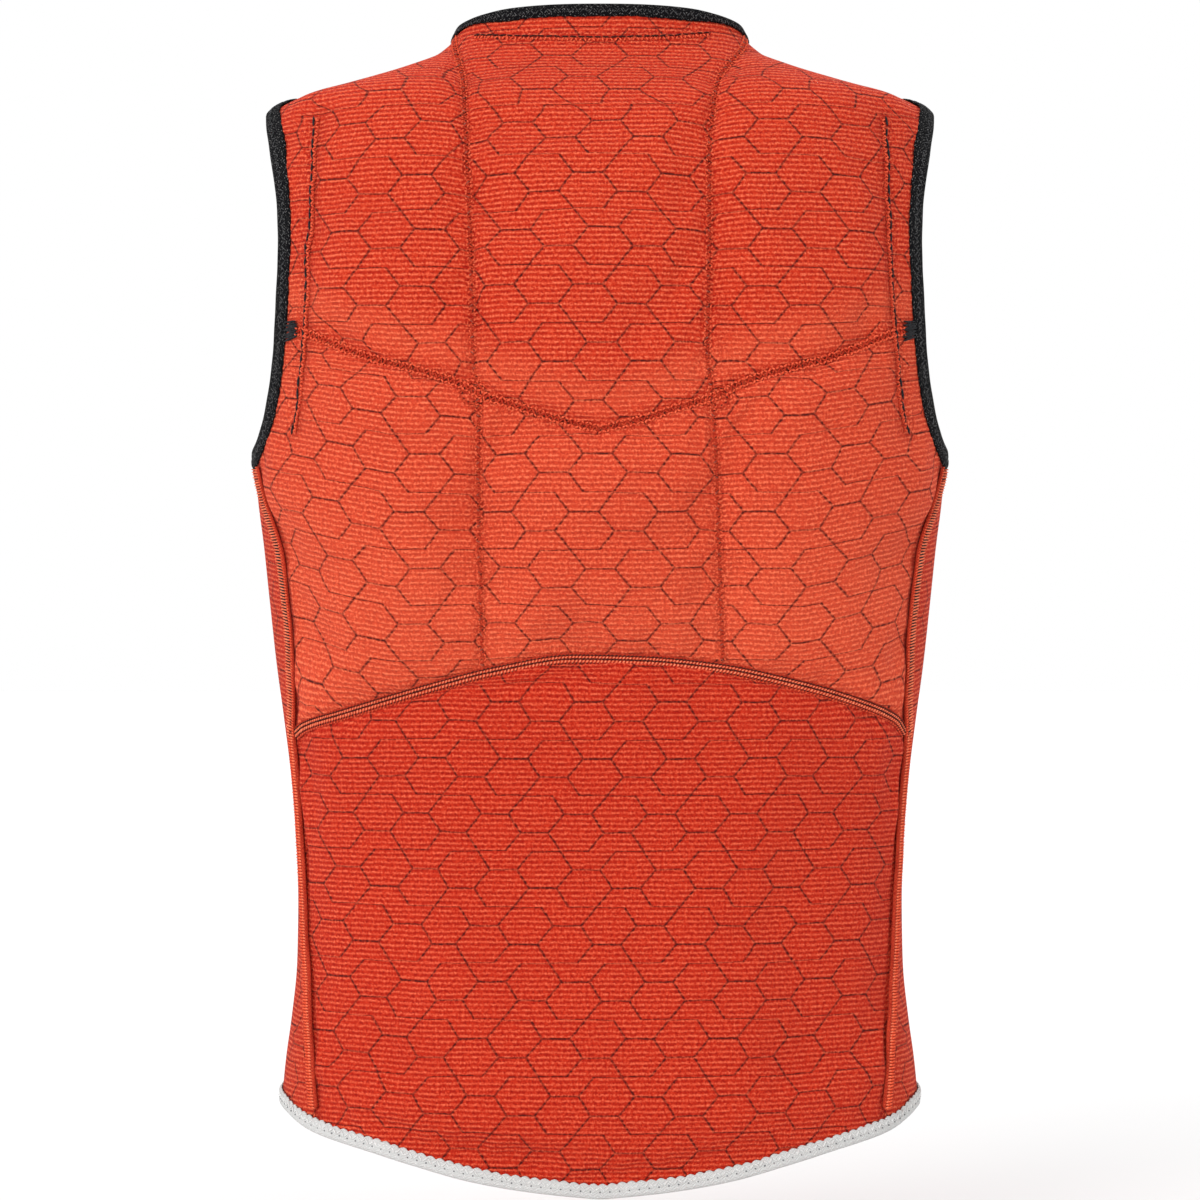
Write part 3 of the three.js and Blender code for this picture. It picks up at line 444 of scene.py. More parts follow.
def arm_stitch_line(side):
    look = smooth_table(ARM_STITCH)
    z = mix(ARM_STITCH[0][0], ARM_STITCH[-1][0], FINE)
    return face_at(side * look(z)[..., 0], z, -1)


def collar_stitch_line():
    look = smooth_table(COLLAR_STITCH)
    x = mix(COLLAR_STITCH[0][0], COLLAR_STITCH[-1][0], FINE)
    return face_at(x, look(x)[..., 0], -1)


def knot_line(side):
    """Small round tack where a channel meets the yoke seam."""
    i, j = nearest_pair(channels[side], yoke)
    centre = yoke[j]
    turn = mix(0, 2 * math.pi, FINE)
    x = centre[0] + side * KNOT_SHIFT + KNOT_RADIUS * np.cos(turn)
    return face_at(x, centre[2] + KNOT_RADIUS * np.sin(turn), -1)


def nearest_pair(a, b):
    d = np.linalg.norm(a[:, None] - b[None], axis=-1)
    return np.unravel_index(np.argmin(d), d.shape)


waist = waist_line()
yoke = yoke_line()
neck_back = neck_back_line()
neck_front = neck_front_line()
channels = {side: channel_line(side) for side in (-1, 1)}
arm_stitches = {side: arm_stitch_line(side) for side in (-1, 1)}
collar_stitch = collar_stitch_line()
knots = {side: knot_line(side) for side in (-1, 1)}


def shares(line):
    run = run_of(line)
    return run / run[-1]


def patch(bottom, top, start, end):
    """Points between four border lines, laid on the body form."""
    rows, columns = len(start) - 1, len(bottom) - 1
    i = np.arange(rows + 1)[:, None]
    j = np.arange(columns + 1)[None]
    v = mix(shares(start)[i], shares(end)[i], j / columns)
    u = mix(shares(bottom)[j], shares(top)[j], v)
    u, v = u[..., None], v[..., None]
    p = mix(bottom[None], top[None], v) + mix(start[:, None], end[:, None], u)
    p = p - mix(mix(bottom[0], bottom[-1], u), mix(top[0], top[-1], u), v)
    grid = settle(p)
    grid[0], grid[-1], grid[:, 0], grid[:, -1] = bottom, top, start, end
    return grid


def across(*grids):
    return np.concatenate([grids[0]] + [g[:, 1:] for g in grids[1:]], axis=1)


def upward(*grids):
    return np.concatenate([grids[0]] + [g[1:] for g in grids[1:]], axis=0)


# tilt of the ribs on the flanks, where it starts, and the heights over which it comes and goes
FLANK_TILT, FLANK_PLACE = 0.2, 105
FLANK_LOW, FLANK_LOW_REACH = 235, 50
FLANK_HIGH, FLANK_HIGH_REACH = 420, 60
CHANNEL_DIP, CHANNEL_DIP_REACH = 1.6, 9


def cloth_map(grid, level=False):
    """Lengths along the cloth: across from the middle, and up; level keeps the ribs level across the back."""
    wide = grid[0, :, 0].min() < 0 < grid[0, :, 0].max()
    middle = np.argmin(np.abs(grid[:, :, 0] if wide else grid[:, :, 1]), axis=1)
    run, rise = run_grid(grid, 1), run_grid(grid, 0)
    if wide:
        over = np.abs(np.diff(grid[:, :, 0], axis=1))
        run = mix(run, np.concatenate([np.zeros((len(run), 1)), np.cumsum(over, axis=1)], axis=1), 0.5)
    u = run - run[np.arange(grid.shape[0]), middle][:, None]
    if not level:
        return np.stack([u, grid[0, :, 2][None] + rise], -1)
    centre = grid.shape[1] // 2
    z, x = grid[:, :, 2], np.abs(grid[:, :, 0])
    v = np.interp(z, grid[:, centre, 2], grid[0, centre, 2] + rise[:, centre])
    v = np.where(z < grid[0, centre, 2], z, v)
    flank = np.maximum(x - FLANK_PLACE, 0) * smooth((z - FLANK_LOW) / FLANK_LOW_REACH)
    flank = flank * (1 - smooth((z - FLANK_HIGH) / FLANK_HIGH_REACH))
    far = nearest_of(grid, channels.values())
    return np.stack([u, v - FLANK_TILT * flank + CHANNEL_DIP * np.exp(-far / CHANNEL_DIP_REACH)], -1)


def line_distance(grid, line):
    """Distance of every point of a grid from a line."""
    thin, flat, batch = line[::4], grid.reshape(-1, 3), 2000
    near = [
        np.min(np.linalg.norm(flat[k:k + batch, None] - thin[None], axis=-1), axis=1)
        for k in range(0, len(flat), batch)
    ]
    return np.concatenate(near).reshape(grid.shape[:2])


def to_frame(p):
    """Millimetres above the hem to metres in the row frame."""
    return (np.asarray(p, float) - (0, 0, STRAP_HEIGHT)) / 1000


def new_object(name, points, faces, uv=None, material=None):
    mesh = bpy.data.meshes.new(name)
    mesh.from_pydata(to_frame(points).tolist(), [], faces)
    if uv is not None:
        layer = mesh.uv_layers.new(name="cloth")
        index = np.zeros(len(mesh.loops), int)
        mesh.loops.foreach_get("vertex_index", index)
        layer.data.foreach_set("uv", np.asarray(uv)[index].ravel())
    mesh.polygons.foreach_set("use_smooth", [True] * len(mesh.polygons))
    obj = bpy.data.objects.new(name, mesh)
    bpy.context.collection.objects.link(obj)
    if material:
        mesh.materials.append(material)
    return obj


def recalculate(obj):
    """Turns the faces outwards."""
    mesh = obj.data
    points = np.zeros(len(mesh.vertices) * 3)
    mesh.vertices.foreach_get("co", points)
    points = points.reshape(-1, 3)
    mesh.calc_loop_triangles()
    tris = np.zeros(len(mesh.loop_triangles) * 3, int)
    mesh.loop_triangles.foreach_get("vertices", tris)
    a, b, c = (points[tris.reshape(-1, 3)[:, k]] for k in range(3))
    if (a * np.cross(b, c)).sum() < 0:
        mesh.flip_normals()


def finish_piece(obj, slot, *nodes):
    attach(obj, "root")
    if nodes:
        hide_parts(*nodes)


# ---------------------------------------------------------------- looks

class Signal:
    """A socket of a node tree, used in plain arithmetic."""

    def __init__(self, tree, socket):
        self.tree, self.socket = tree, socket

    def ramp(self, low, high):
        return self.tree.node(
            "ShaderNodeMapRange", {"interpolation_type": "SMOOTHSTEP"}, {0: self, 1: low, 2: high},
        )


def arithmetic(operation, turned):
    """A method that adds one Math node; turned puts the signal last."""
    def act(self, *others):
        return self.tree.math(operation, *((*others, self) if turned else (self, *others)))
    return act


for method, operation, turned in (
    ("__add__", "ADD", False), ("__radd__", "ADD", False), ("__sub__", "SUBTRACT", False),
    ("__rsub__", "SUBTRACT", True), ("__mul__", "MULTIPLY", False), ("__rmul__", "MULTIPLY", False),
    ("__truediv__", "DIVIDE", False), ("__abs__", "ABSOLUTE", False), ("floor", "FLOOR", False),
    ("nearest", "ROUND", False), ("sine", "SINE", False), ("wrap", "FLOORED_MODULO", False),
    ("top", "MAXIMUM", False), ("least", "MINIMUM", False),
):
    setattr(Signal, method, arithmetic(operation, turned))


class Tree:
    """A node tree that grows by one call for each node."""

    def __init__(self, tree):
        self.tree = tree

    def node(self, kind, settings=None, inputs=None, output=0):
        made = self.tree.nodes.new(kind)
        for key, value in (settings or {}).items():
            setattr(made, key, value)
        for key, value in (inputs or {}).items():
            if isinstance(value, Signal):
                self.tree.links.new(value.socket, made.inputs[key])
            else:
                made.inputs[key].default_value = value
        return Signal(self, made.outputs[output])

    def math(self, operation, *values):
        return self.node("ShaderNodeMath", {"operation": operation}, dict(enumerate(values)))


class Look(Tree):
    """A material with its shader, and the nodes that feed it."""

    def __init__(self, name, base, roughness, sheen=0.0, shine=0.12):
        self.material = bpy.data.materials.new(name)
        self.material.use_nodes = True
        super().__init__(self.material.node_tree)
        self.shader = next(n for n in self.tree.nodes if n.type == "BSDF_PRINCIPLED")
        for key, value in (
            ("Base Color", (*base, 1)), ("Roughness", roughness), ("Specular IOR Level", shine),
            ("Sheen Weight", sheen), ("Sheen Roughness", 0.5),
        ):
            self.shader.inputs[key].default_value = value

    def blend(self, factor, first, second):
        return self.node("ShaderNodeMix", {"data_type": "RGBA"}, {0: factor, 6: first, 7: second}, output=2)

    def noise(self, vector, scale, detail=2.0, rough=0.5):
        return self.node(
            "ShaderNodeTexNoise", None, {"Vector": vector, "Scale": scale, "Detail": detail, "Roughness": rough},
        )

    def mark(self, name):
        """Strength that a panel carries as an attribute."""
        return self.node("ShaderNodeAttribute", {"attribute_name": name}, output=2)

    def feed(self, **links):
        names = {"colour": "Base Color", "normal": "Normal"}
        for key, signal in links.items():
            self.tree.links.new(signal.socket, self.shader.inputs[names[key]])

    def bump(self, height, distance, strength=1.0):
        return self.node("ShaderNodeBump", None, {"Height": height, "Distance": distance, "Strength": strength})

    def cloth_place(self):
        """Place on the cloth, and its parts across and along in millimetres."""
        place = self.node("ShaderNodeUVMap", {"uv_map": "cloth"})
        split = self.tree.nodes.new("ShaderNodeSeparateXYZ")
        self.tree.links.new(place.socket, split.inputs[0])
        return place, *(Signal(self, split.outputs[k]) * UV_UNIT for k in (0, 1))


def colour(value):
    return (*value, 1.0)


def honeycomb(across_mm, up_mm, unit_x, unit_y, start_x, start_y, lean):
    """Lines of flat-topped hexagons in rows of two, each pair of rows stepped from the next."""
    down = (start_y - up_mm) / unit_y
    over = (across_mm - start_x) / unit_x + down * lean
    strip = ((down + 1) / 3).floor()
    y = down - strip * 3
    x = over - strip.wrap(2)

    def ring(px, py):
        dx = abs(px - (px / 6).nearest() * 6)
        dy = abs(py)
        return abs(dy.top((dx + dy) / 2) - 1)

    return ring(x, y).least(ring(x - 3, y - 1))


# millimetres from one row of hexagons to the next, ribs in a row, and pitch of the loops along a rib
ROW_HEIGHT = 9.8
RIBS_PER_ROW = 3.6
RIB_START = 0.3
LOOP_PITCH = 1.7
LINE_EDGES = (0.068, 0.022)


def lining_look(name, tone, unit_x, start_x, start_y, lean, strength):
    """Looped lining: ribs across, beads of loops along them, and hexagon lines knitted in."""
    # strength scales the colours; on the lower back it is painted shade
    base, light, dark = ([c * k for c, k in zip(shade, strength)] for shade in (tone.base, tone.light, tone.dark))
    look = Look(name, base, 0.97, sheen=tone.sheen)
    place, u, v = look.cloth_place()
    sewn, taut, deep = look.mark("sewn"), look.mark("taut"), look.mark("deep")
    wide = look.noise(place, 2.2, 2.0)
    wobble = look.noise(place, 9.0, 3.0)
    loops = look.noise(place, 62.0, 2.0, 0.65)
    fuzz = look.noise(place, 120.0, 2.0, 0.7)
    down = (start_y - v) / ROW_HEIGHT
    sway = (wobble - 0.5) * (2.4 + sewn * 9.0)
    turn = (down * RIBS_PER_ROW - RIB_START) * (2 * math.pi) + sway + (fuzz - 0.5) * 2.4
    ridge = 0.5 - (turn + math.pi / 2).sine() * 0.5
    beads = (u * (2 * math.pi / LOOP_PITCH) + (wobble - 0.5) * 9.0 + (loops - 0.5) * 7.0).sine()
    grain = (loops - 0.5) * (tone.grain * (1 + sewn * 0.7)) + (fuzz - 0.5) * 1.6 + beads * ridge * 0.12
    # painted light and shade of the ribs: their tops are painted lighter and the gaps between them darker, over the
    # loops' own random tone in grain
    tops = (ridge - 0.5) * (tone.ribs * (1 - sewn * 0.5) * (1 - taut * 0.2)) + grain
    # near sewn lines and seams the colour is also darkened, as painted shade of their creases
    shade = look.blend((tops * -1.25 + sewn * 0.30).top(0.0).least(1.0), colour(base), colour(dark))
    # painted highlight where the cloth is pulled tight: brighter loop tips, and the whole colour lifted towards the
    # lit loops
    shade = look.blend((tops * (taut * 0.45 + 0.95)).top(0.0).least(1.0), shade, colour(light))
    shade = look.blend(taut * 0.22, shade, colour(light))
    shade = look.blend(wide.ramp(0.4, 0.75) * 0.10, shade, colour(dark))
    height = ridge * 0.7 + beads * ridge * 0.15 + loops * (0.9 + sewn * 0.9) + fuzz * 0.3
    height = height + (wobble - 0.5) * sewn * 2.4
    far = honeycomb(u + (loops - 0.5) * 1.3, v + (wobble - 0.5) * 1.4, unit_x, ROW_HEIGHT, start_x, start_y, lean)
    line = far.ramp(*LINE_EDGES) * (1 - ridge * 0.35) * (0.55 + loops.ramp(0.62, 0.42) * 0.45)
    shade = look.blend(line * tone.line_strength, shade, colour(tone.line))
    # painted crease shade: a deeper red beside the side seams and inside the armhole stitches
    shade = look.blend((deep * 0.85).least(1.0), shade, colour([c * 0.55 for c in dark]))
    look.feed(colour=shade, normal=look.bump(height - line * 0.3, tone.relief / 1000))
    return look.material


BINDING_FOLD = 5.2
BINDING_RIB = 1.6


def binding_look(name, base, light):
    """Woven stretch tape: fine slanting ribs that turn over at each zigzag."""
    look = Look(name, base, 0.85, sheen=0.01, shine=0.05)
    place, u, v = look.cloth_place()
    fuzz = look.noise(place, 78.0, 3.0, 0.7)
    turns = u / BINDING_FOLD
    fold = abs((turns - turns.floor()) - 0.5) * BINDING_FOLD
    twill = ((fold * 1.2 + v + (fuzz - 0.5) * 0.8) * (2 * math.pi / BINDING_RIB)).sine() * 0.5 + 0.5
    # painted glints: lighter specks on the twill ridges, scattered by noise
    painted_glints = twill.ramp(0.45, 0.85) * fuzz.ramp(0.53, 0.60)
    shade = look.blend(painted_glints, colour(base), colour(light))
    look.feed(colour=shade, normal=look.bump(twill * 0.8 + fuzz * 0.9, 0.0005))
    return look.material


def thread_look(name, base, light, dark):
    """Twisted thread with fine lighter and darker fibres."""
    look = Look(name, base, 0.8, sheen=0.02)
    place = look.node("ShaderNodeTexCoord", output=3)
    fine = look.noise(place, 1500.0, 2.0, 0.6)
    wide = look.noise(place, 260.0, 2.0)
    shade = look.blend(fine.ramp(0.35, 0.7), colour(dark), colour(light))
    shade = look.blend(wide.ramp(0.3, 0.7) * 0.5, shade, colour(base))
    look.feed(colour=shade, normal=look.bump(fine, 0.00015))
    return look.material


# ---------------------------------------------------------------- stitches

STITCH_SIZES = {
    "Stitch Length": 0.004, "Thread Radius": 0.0004, "Slant": 0.0, "Alternate": 0.0, "Height": 0.0,
    "Unevenness": 0.12,
}
GRAIN_SIDES, GRAIN_RINGS = 6, 5


def stitch_tree():
    """Geometry Nodes: one thread grain on every point, laid along the seam and slanted."""
    if "Stitches" in bpy.data.node_groups:
        return bpy.data.node_groups["Stitches"]
    group = bpy.data.node_groups.new("Stitches", "GeometryNodeTree")
    for label, way, kind, default in (
        ("Geometry", "OUTPUT", "Geometry", None), ("Points", "INPUT", "Geometry", None),
        *((label, "INPUT", "Float", size) for label, size in STITCH_SIZES.items()),
        ("Seed", "INPUT", "Int", 3), ("Thread", "INPUT", "Material", None),
    ):
        socket = group.interface.new_socket(label, in_out=way, socket_type="NodeSocket" + kind)
        if default is not None:
            socket.default_value = default
    tree = Tree(group)
    given = {socket.name: Signal(tree, socket) for socket in group.nodes.new("NodeGroupInput").outputs}
    radius = given["Thread Radius"]
    grain = tree.node(
        "GeometryNodeMeshUVSphere", None, {"Segments": GRAIN_SIDES, "Rings": GRAIN_RINGS, "Radius": 1.0},
    )
    size = tree.node("ShaderNodeCombineXYZ", None, {"X": given["Stitch Length"] * 0.5, "Y": radius, "Z": radius})
    shaped = tree.node("GeometryNodeTransform", None, {"Geometry": grain, "Scale": size})
    along, out = (
        tree.node("GeometryNodeInputNamedAttribute", {"data_type": "FLOAT_VECTOR"}, {"Name": key})
        for key in ("along", "out")
    )
    lie = tree.node("FunctionNodeAlignRotationToVector", {"axis": "X"}, {"Vector": along})
    stand = tree.node(
        "FunctionNodeAlignRotationToVector", {"axis": "Z", "pivot_axis": "X"}, {"Rotation": lie, "Vector": out},
    )
    flip = 1.0 - tree.node("GeometryNodeInputIndex").wrap(2.0) * 2.0 * given["Alternate"]
    uneven = tree.node(
        "FunctionNodeRandomValue", {"data_type": "FLOAT"}, {2: -1.0, 3: 1.0, "Seed": given["Seed"]}, output=1,
    )
    wander = uneven * given["Unevenness"]
    twist = tree.node("ShaderNodeCombineXYZ", None, {"Z": given["Slant"] * flip + wander})
    turned = tree.node("FunctionNodeRotateRotation", {"rotation_space": "LOCAL"}, {0: stand, 1: twist})
    lift = tree.node("ShaderNodeVectorMath", {"operation": "SCALE"}, {0: out, "Scale": given["Height"]})
    moved = tree.node("GeometryNodeSetPosition", None, {"Geometry": given["Points"], "Offset": lift})
    laid = tree.node(
        "GeometryNodeInstanceOnPoints", None,
        {"Points": moved, "Instance": shaped, "Rotation": turned, "Scale": wander * 0.8 + 1.0},
    )
    real = tree.node("GeometryNodeRealizeInstances", None, {"Geometry": laid})
    soft = tree.node("GeometryNodeSetShadeSmooth", None, {"Geometry": real})
    done = tree.node("GeometryNodeSetMaterial", None, {"Geometry": soft, "Material": given["Thread"]})
    group.links.new(done.socket, group.nodes.new("NodeGroupOutput").inputs[0])
    return group


def stitches(name, points, along, out, thread, slot, *nodes, **sizes):
    """Rows of stitches as one plain mesh.

    Points are in millimetres above the hem. Sizes carry the names of the tree's inputs, and lengths are in metres.
    """
    mesh = bpy.data.meshes.new(name + "_points")
    mesh.from_pydata(to_frame(points).tolist(), [], [])
    for key, values in (("along", along), ("out", out)):
        data = mesh.attributes.new(key, "FLOAT_VECTOR", "POINT").data
        data.foreach_set("vector", np.asarray(values, float).ravel())
    obj = bpy.data.objects.new(name, mesh)
    bpy.context.collection.objects.link(obj)
    modifier = obj.modifiers.new("Stitches", "NODES")
    modifier.node_group = stitch_tree()
    sizes["thread"] = dressed(thread)
    for item in modifier.node_group.interface.items_tree:
        key = item.name.lower().replace(" ", "_")
        if item.in_out == "INPUT" and key in sizes:
            modifier[item.identifier] = sizes[key]
    bpy.context.view_layer.update()
    made = bpy.data.meshes.new_from_object(obj.evaluated_get(bpy.context.evaluated_depsgraph_get()))
    obj.modifiers.remove(modifier)
    obj.data = made
    made.name = name
    bpy.data.meshes.remove(mesh)
    finish_piece(obj, slot, *nodes)


def frames_along(line, pitch, offset=0.0, start=0.0, end=0.0):
    """Stations on a line of the form: point, way along and outward normal; offset is sideways."""
    run = run_of(line)
    count = max(int((run[-1] - start - end) / pitch), 2)
    lengths = np.linspace(start, run[-1] - end, count)
    p = points_at(line, lengths)
    normal = normal_at(p)
    along = unit(np.gradient(p, axis=0))
    if offset:
        sideways = unit(np.cross(along, normal))
        p = settle(p + sideways * offset)
        normal = normal_at(p)
    return p, along, normal


# ---------------------------------------------------------------- strips

def rim_frames(line, pitch, toward):
    """Stations of a closed edge: point, normal, the way into the cloth, and length along."""
    closed = np.concatenate([line, line[:1]])
    run = run_of(closed)[-1]
    count = int(round(run / pitch))
    lengths = np.arange(count) * run / count
    p = points_at(closed, lengths)
    normal = normal_at(p)
    along = unit(np.roll(p, -2, axis=0) - np.roll(p, 2, axis=0))
    inward = unit(np.cross(along, normal))
    sign = np.sign((inward * toward(p)).sum(-1))
    return p, normal, inward * sign[:, None], lengths


def strip(name, stations, closed, material, uv_along):
    """Closed skin over rings of points; stations is rings x ring points x 3."""
    n, m = stations.shape[:2]
    faces = []
    for i in range(n if closed else n - 1):
        k = (i + 1) % n
        for j in range(m):
            l = (j + 1) % m
            faces.append((i * m + j, i * m + l, k * m + l, k * m + j))
    if not closed:
        faces.append(tuple(range(m - 1, -1, -1)))
        faces.append(tuple((n - 1) * m + j for j in range(m)))
    around = np.zeros((n, m))
    around[:, 1:] = np.cumsum(np.linalg.norm(np.diff(stations, axis=1), axis=-1), axis=1)
    uv = np.stack([np.repeat(uv_along[:, None], m, 1), around], -1).reshape(-1, 2) / UV_UNIT
    obj = new_object(name, stations.reshape(-1, 3), faces, uv, material)
    recalculate(obj)
    return obj


# length of a wave, and width from which the folded edge has its full depth
SCALLOP_PITCH = 5.2
FULL_FOLD = 5.4
# share of the width into the cloth (past the edge in mm if negative), height, and whether it is waved
BINDING_PROFILE = (
    (1.0, 0.40, 1), (1.0, 0.85, 1), (0.94, 1.25, 1), (0.72, 1.45, 0.4), (0.4, 1.6, 0), (0.1, 1.65, 0),
    (-0.9, 1.45, 0), (-1.65, 0.4, 0), (-1.9, -1.2, 0), (-1.85, -2.6, 0), (-1.5, -4.0, 0), (-0.6, -4.9, 0),
    (0.1, -5.05, 0), (0.6, -5.0, 0), (0.95, -4.8, 1), (1.0, -4.4, 1), (0.98, -4.0, 1), (0.5, -3.95, 0),
    (-0.5, -3.95, 0), (-0.65, -1.75, 0), (-0.5, 0.4, 0), (0.5, 0.4, 0),
)


def folded_binding(name, line, toward, width, pitch, material, scallop):
    """Stretch binding folded over an edge, its outer leg scalloped by its zigzag stitch."""
    p, normal, inward, along = rim_frames(line, pitch, toward)
    width = np.broadcast_to(width(p), along.shape)
    wave = np.abs(np.sin(math.pi * along / SCALLOP_PITCH))
    ripple = 0.18 * np.sin(along / 7.3) + 0.12 * np.sin(along / 3.1 + 1.0)
    rings = []
    for share, height, waved in BINDING_PROFILE:
        depth = share * width if share > 0 else share
        depth = depth + (waved * scallop * wave if share > 0 else 0) + (ripple if waved else 0)
        depth = np.broadcast_to(depth, along.shape)
        seat = settle(p + inward * np.maximum(depth, 0)[:, None])
        out = normal_at(seat)
        edge = np.minimum(depth, 0) * np.minimum(width / FULL_FOLD, 1)
        rise = height + ripple * (0.5 if height > 1 else 0)
        rings.append(seat + inward * edge[:, None] + out * rise[:, None])
    return strip(name, np.stack(rings, 1), True, material, along)


def raised_strip(name, line, profile, pitch, material, start, end, waver=0.0):
    """Strip on the cloth along a seam; profile is [sideways, outward]."""
    p, along, normal = frames_along(line, pitch, 0, start, end)
    side = unit(np.cross(along, normal))
    run = run_of(p)
    sway = waver * (np.sin(run / 9.1) + 0.6 * np.sin(run / 4.3 + 2))
    rings = [p + side * (d + sway)[:, None] + normal * h for d, h in profile]
    return strip(name, np.stack(rings, 1), False, material, run)


# ---------------------------------------------------------------- panels of lining

def fit(line, other):
    """Index on a line of the point nearest to another line."""
    return nearest_pair(line, other)[0]


def hem_arc(low, high):
    start, end = turn_of(low), turn_of(high)
    if abs(end) > 90 and start < 0 < end:
        end -= 360
    return hem_line(start, end)


CROWD = 0.5
ROWS_BELOW_YOKE = 46
ROWS_ABOVE_YOKE = 40
ROWS_LOWER = 50
ROWS_SIDE = 70
ROWS_FRONT, FRONT_COLUMNS = 96, 76
BACK_COLUMNS = (28, 34, 28)
SIDE_COLUMNS = 12
SHOULDER_FADE = 110
PAD_SHOULDER = 26
LUMBAR_LIFT, SIDE_LIFT, FRONT_LIFT = 4, 0.8, 3.0


def parted(line, first, second):
    """A line in three parts, cut at two of its points."""
    return line[:first + 1], line[first:second + 1], line[second:]


def back_upper_grid():
    """Upper back: three columns between the channels, in a band under the yoke seam and one over it."""
    knot = {s: nearest_pair(channels[s], yoke) for s in (-1, 1)}
    low = {s: even(channels[s][:knot[s][0] + 1], ROWS_BELOW_YOKE, CROWD) for s in (-1, 1)}
    high = {s: even(channels[s][knot[s][0]:], ROWS_ABOVE_YOKE, CROWD) for s in (-1, 1)}
    foot = parted(waist, *(fit(waist, channels[s][:1]) for s in (-1, 1)))
    middle = parted(yoke, knot[-1][1], knot[1][1])
    bands = []
    for bottom, top, inner, outer, rows in (
        (foot, middle, low, (joined(left.high, left.arm_low), joined(right.high, right.arm_low)), ROWS_BELOW_YOKE),
        (
            middle, (left.ridge, neck_back, right.ridge[::-1]), high, (left.arm_high, right.arm_high),
            ROWS_ABOVE_YOKE,
        ),
    ):
        sides = (even(outer[0], rows, CROWD), inner[-1], inner[1], even(outer[1], rows, CROWD))
        bands.append(across(*(
            patch(even(bottom[k], cells, CROWD), even(top[k], cells, CROWD), sides[k], sides[k + 1])
            for k, cells in enumerate(BACK_COLUMNS)
        )))
    return upward(*bands)


def simple_grid(bottom, top, start, end, rows, columns, crowd=0.4):
    return patch(
        even(bottom, columns, crowd), even(top, columns, crowd), even(start, rows, crowd), even(end, rows, crowd),
    )


def open_seams(grid, below, above, first, last):
    """Draws the cut edges back from a seam by half of its gap."""
    gap = SEAM_GAP / 2
    for wanted, edge, inner in (
        (below, np.s_[0], np.s_[1]), (above, np.s_[-1], np.s_[-2]),
        (first, np.s_[:, 0], np.s_[:, 1]), (last, np.s_[:, -1], np.s_[:, -2]),
    ):
        if wanted:
            a, b = grid[edge], grid[inner]
            grid[edge] = settle(a + unit(b - a) * gap)


def run_grid(grid, axis):
    steps = np.linalg.norm(np.diff(grid, axis=axis), axis=-1)
    zero = np.zeros((1, grid.shape[1])) if axis == 0 else np.zeros((grid.shape[0], 1))
    return np.concatenate([zero, np.cumsum(steps, axis=axis)], axis=axis)


def nearest_of(grid, lines):
    if not lines:
        return np.full(grid.shape[:2], 1e3)
    return np.min([line_distance(grid, line) for line in lines], axis=0)


EDGE_FLAT, SEAM_FLAT = 9, 3


class Edges:
    """Distances of a panel's points from its edges, its seams and the lines sewn through it."""

    def __init__(self, grid, edges, seams, sewn):
        self.edge = nearest_of(grid, edges)
        self.seam = nearest_of(grid, seams)
        self.sewn = nearest_of(grid, sewn)

    def lift(self, height):
        """Height of the foam over the form: flat at the edges, drawn down at seams and sewn lines."""
        flat = smooth((self.edge - EDGE_FLAT) / PAD_SHOULDER)
        seam = self.seam - SEAM_FLAT
        crease = 0.5 * smooth(seam / 5) + 0.5 * smooth(seam / PAD_SHOULDER)
        quilt = 0.42 * smooth(self.sewn / 6) + 0.58 * smooth(self.sewn / PAD_SHOULDER)
        return height * flat * crease * quilt

    def still(self):
        return (self.edge < 8) | (self.seam < 3.2) | (self.sewn < 1.6)

    def marks(self):
        """Strength of the puckers, from 0 to 1; it also darkens the lining, as painted shade of their creases."""
        return np.maximum(bell(self.sewn, 4.2), 0.75 * bell(self.seam, 5.0))


# settings of the cloth, its frames, and the share of the pads' height that it starts from
CLOTH = {
    "quality": 5, "mass": 0.0004, "tension_stiffness": 14, "compression_stiffness": 14, "shear_stiffness": 6,
    "bending_stiffness": 0.35, "use_pressure": True, "vertex_group_mass": "sewn",
}
CLOTH_FRAMES = 20
FILLED_SHARE = 0.82


def inflate(name, grid, lift, still, push, cap, fade=1.0):
    """Offsets of the outer face, by cloth simulation: foam pushes it out between its sewn lines."""
    pads = bpy.context.scene.vest_pads
    rows, columns = grid.shape[:2]
    start = grid + normal_at(grid) * (lift * FILLED_SHARE)[..., None]
    faces = [
        (i * columns + j, i * columns + j + 1, (i + 1) * columns + j + 1, (i + 1) * columns + j)
        for i in range(rows - 1) for j in range(columns - 1)
    ]
    obj = new_object(name + "_cloth", start.reshape(-1, 3), faces)
    middle = obj.data.polygons[len(faces) // 2]
    if Vector(normal_at(grid[rows // 2, columns // 2])).dot(middle.normal) < 0:
        obj.data.flip_normals()
    group = obj.vertex_groups.new(name="sewn")
    group.add([int(k) for k in np.flatnonzero(still)], 1.0, "REPLACE")
    cloth = obj.modifiers.new("Cloth", "CLOTH")
    for key, value in CLOTH.items():
        setattr(cloth.settings, key, value)
    cloth.settings.shrink_min = -pads.growth
    cloth.settings.uniform_pressure_force = pads.pressure * push
    cloth.settings.effector_weights.gravity = 0
    cloth.collision_settings.use_collision = False
    cloth.point_cache.frame_start = 1
    cloth.point_cache.frame_end = CLOTH_FRAMES
    scene = bpy.context.scene
    for step in range(1, CLOTH_FRAMES + 1):
        scene.frame_set(step)
    moved = obj.evaluated_get(bpy.context.evaluated_depsgraph_get()).data
    place = np.zeros(len(moved.vertices) * 3)
    moved.vertices.foreach_get("co", place)
    scene.frame_set(1)
    bpy.data.objects.remove(obj)
    swell = place.reshape(rows, columns, 3) * 1000 + (0, 0, STRAP_HEIGHT) - start
    far = np.linalg.norm(swell, axis=-1, keepdims=True)
    return start - grid + swell * np.minimum(1, cap / np.maximum(far, 1e-9)) * fade


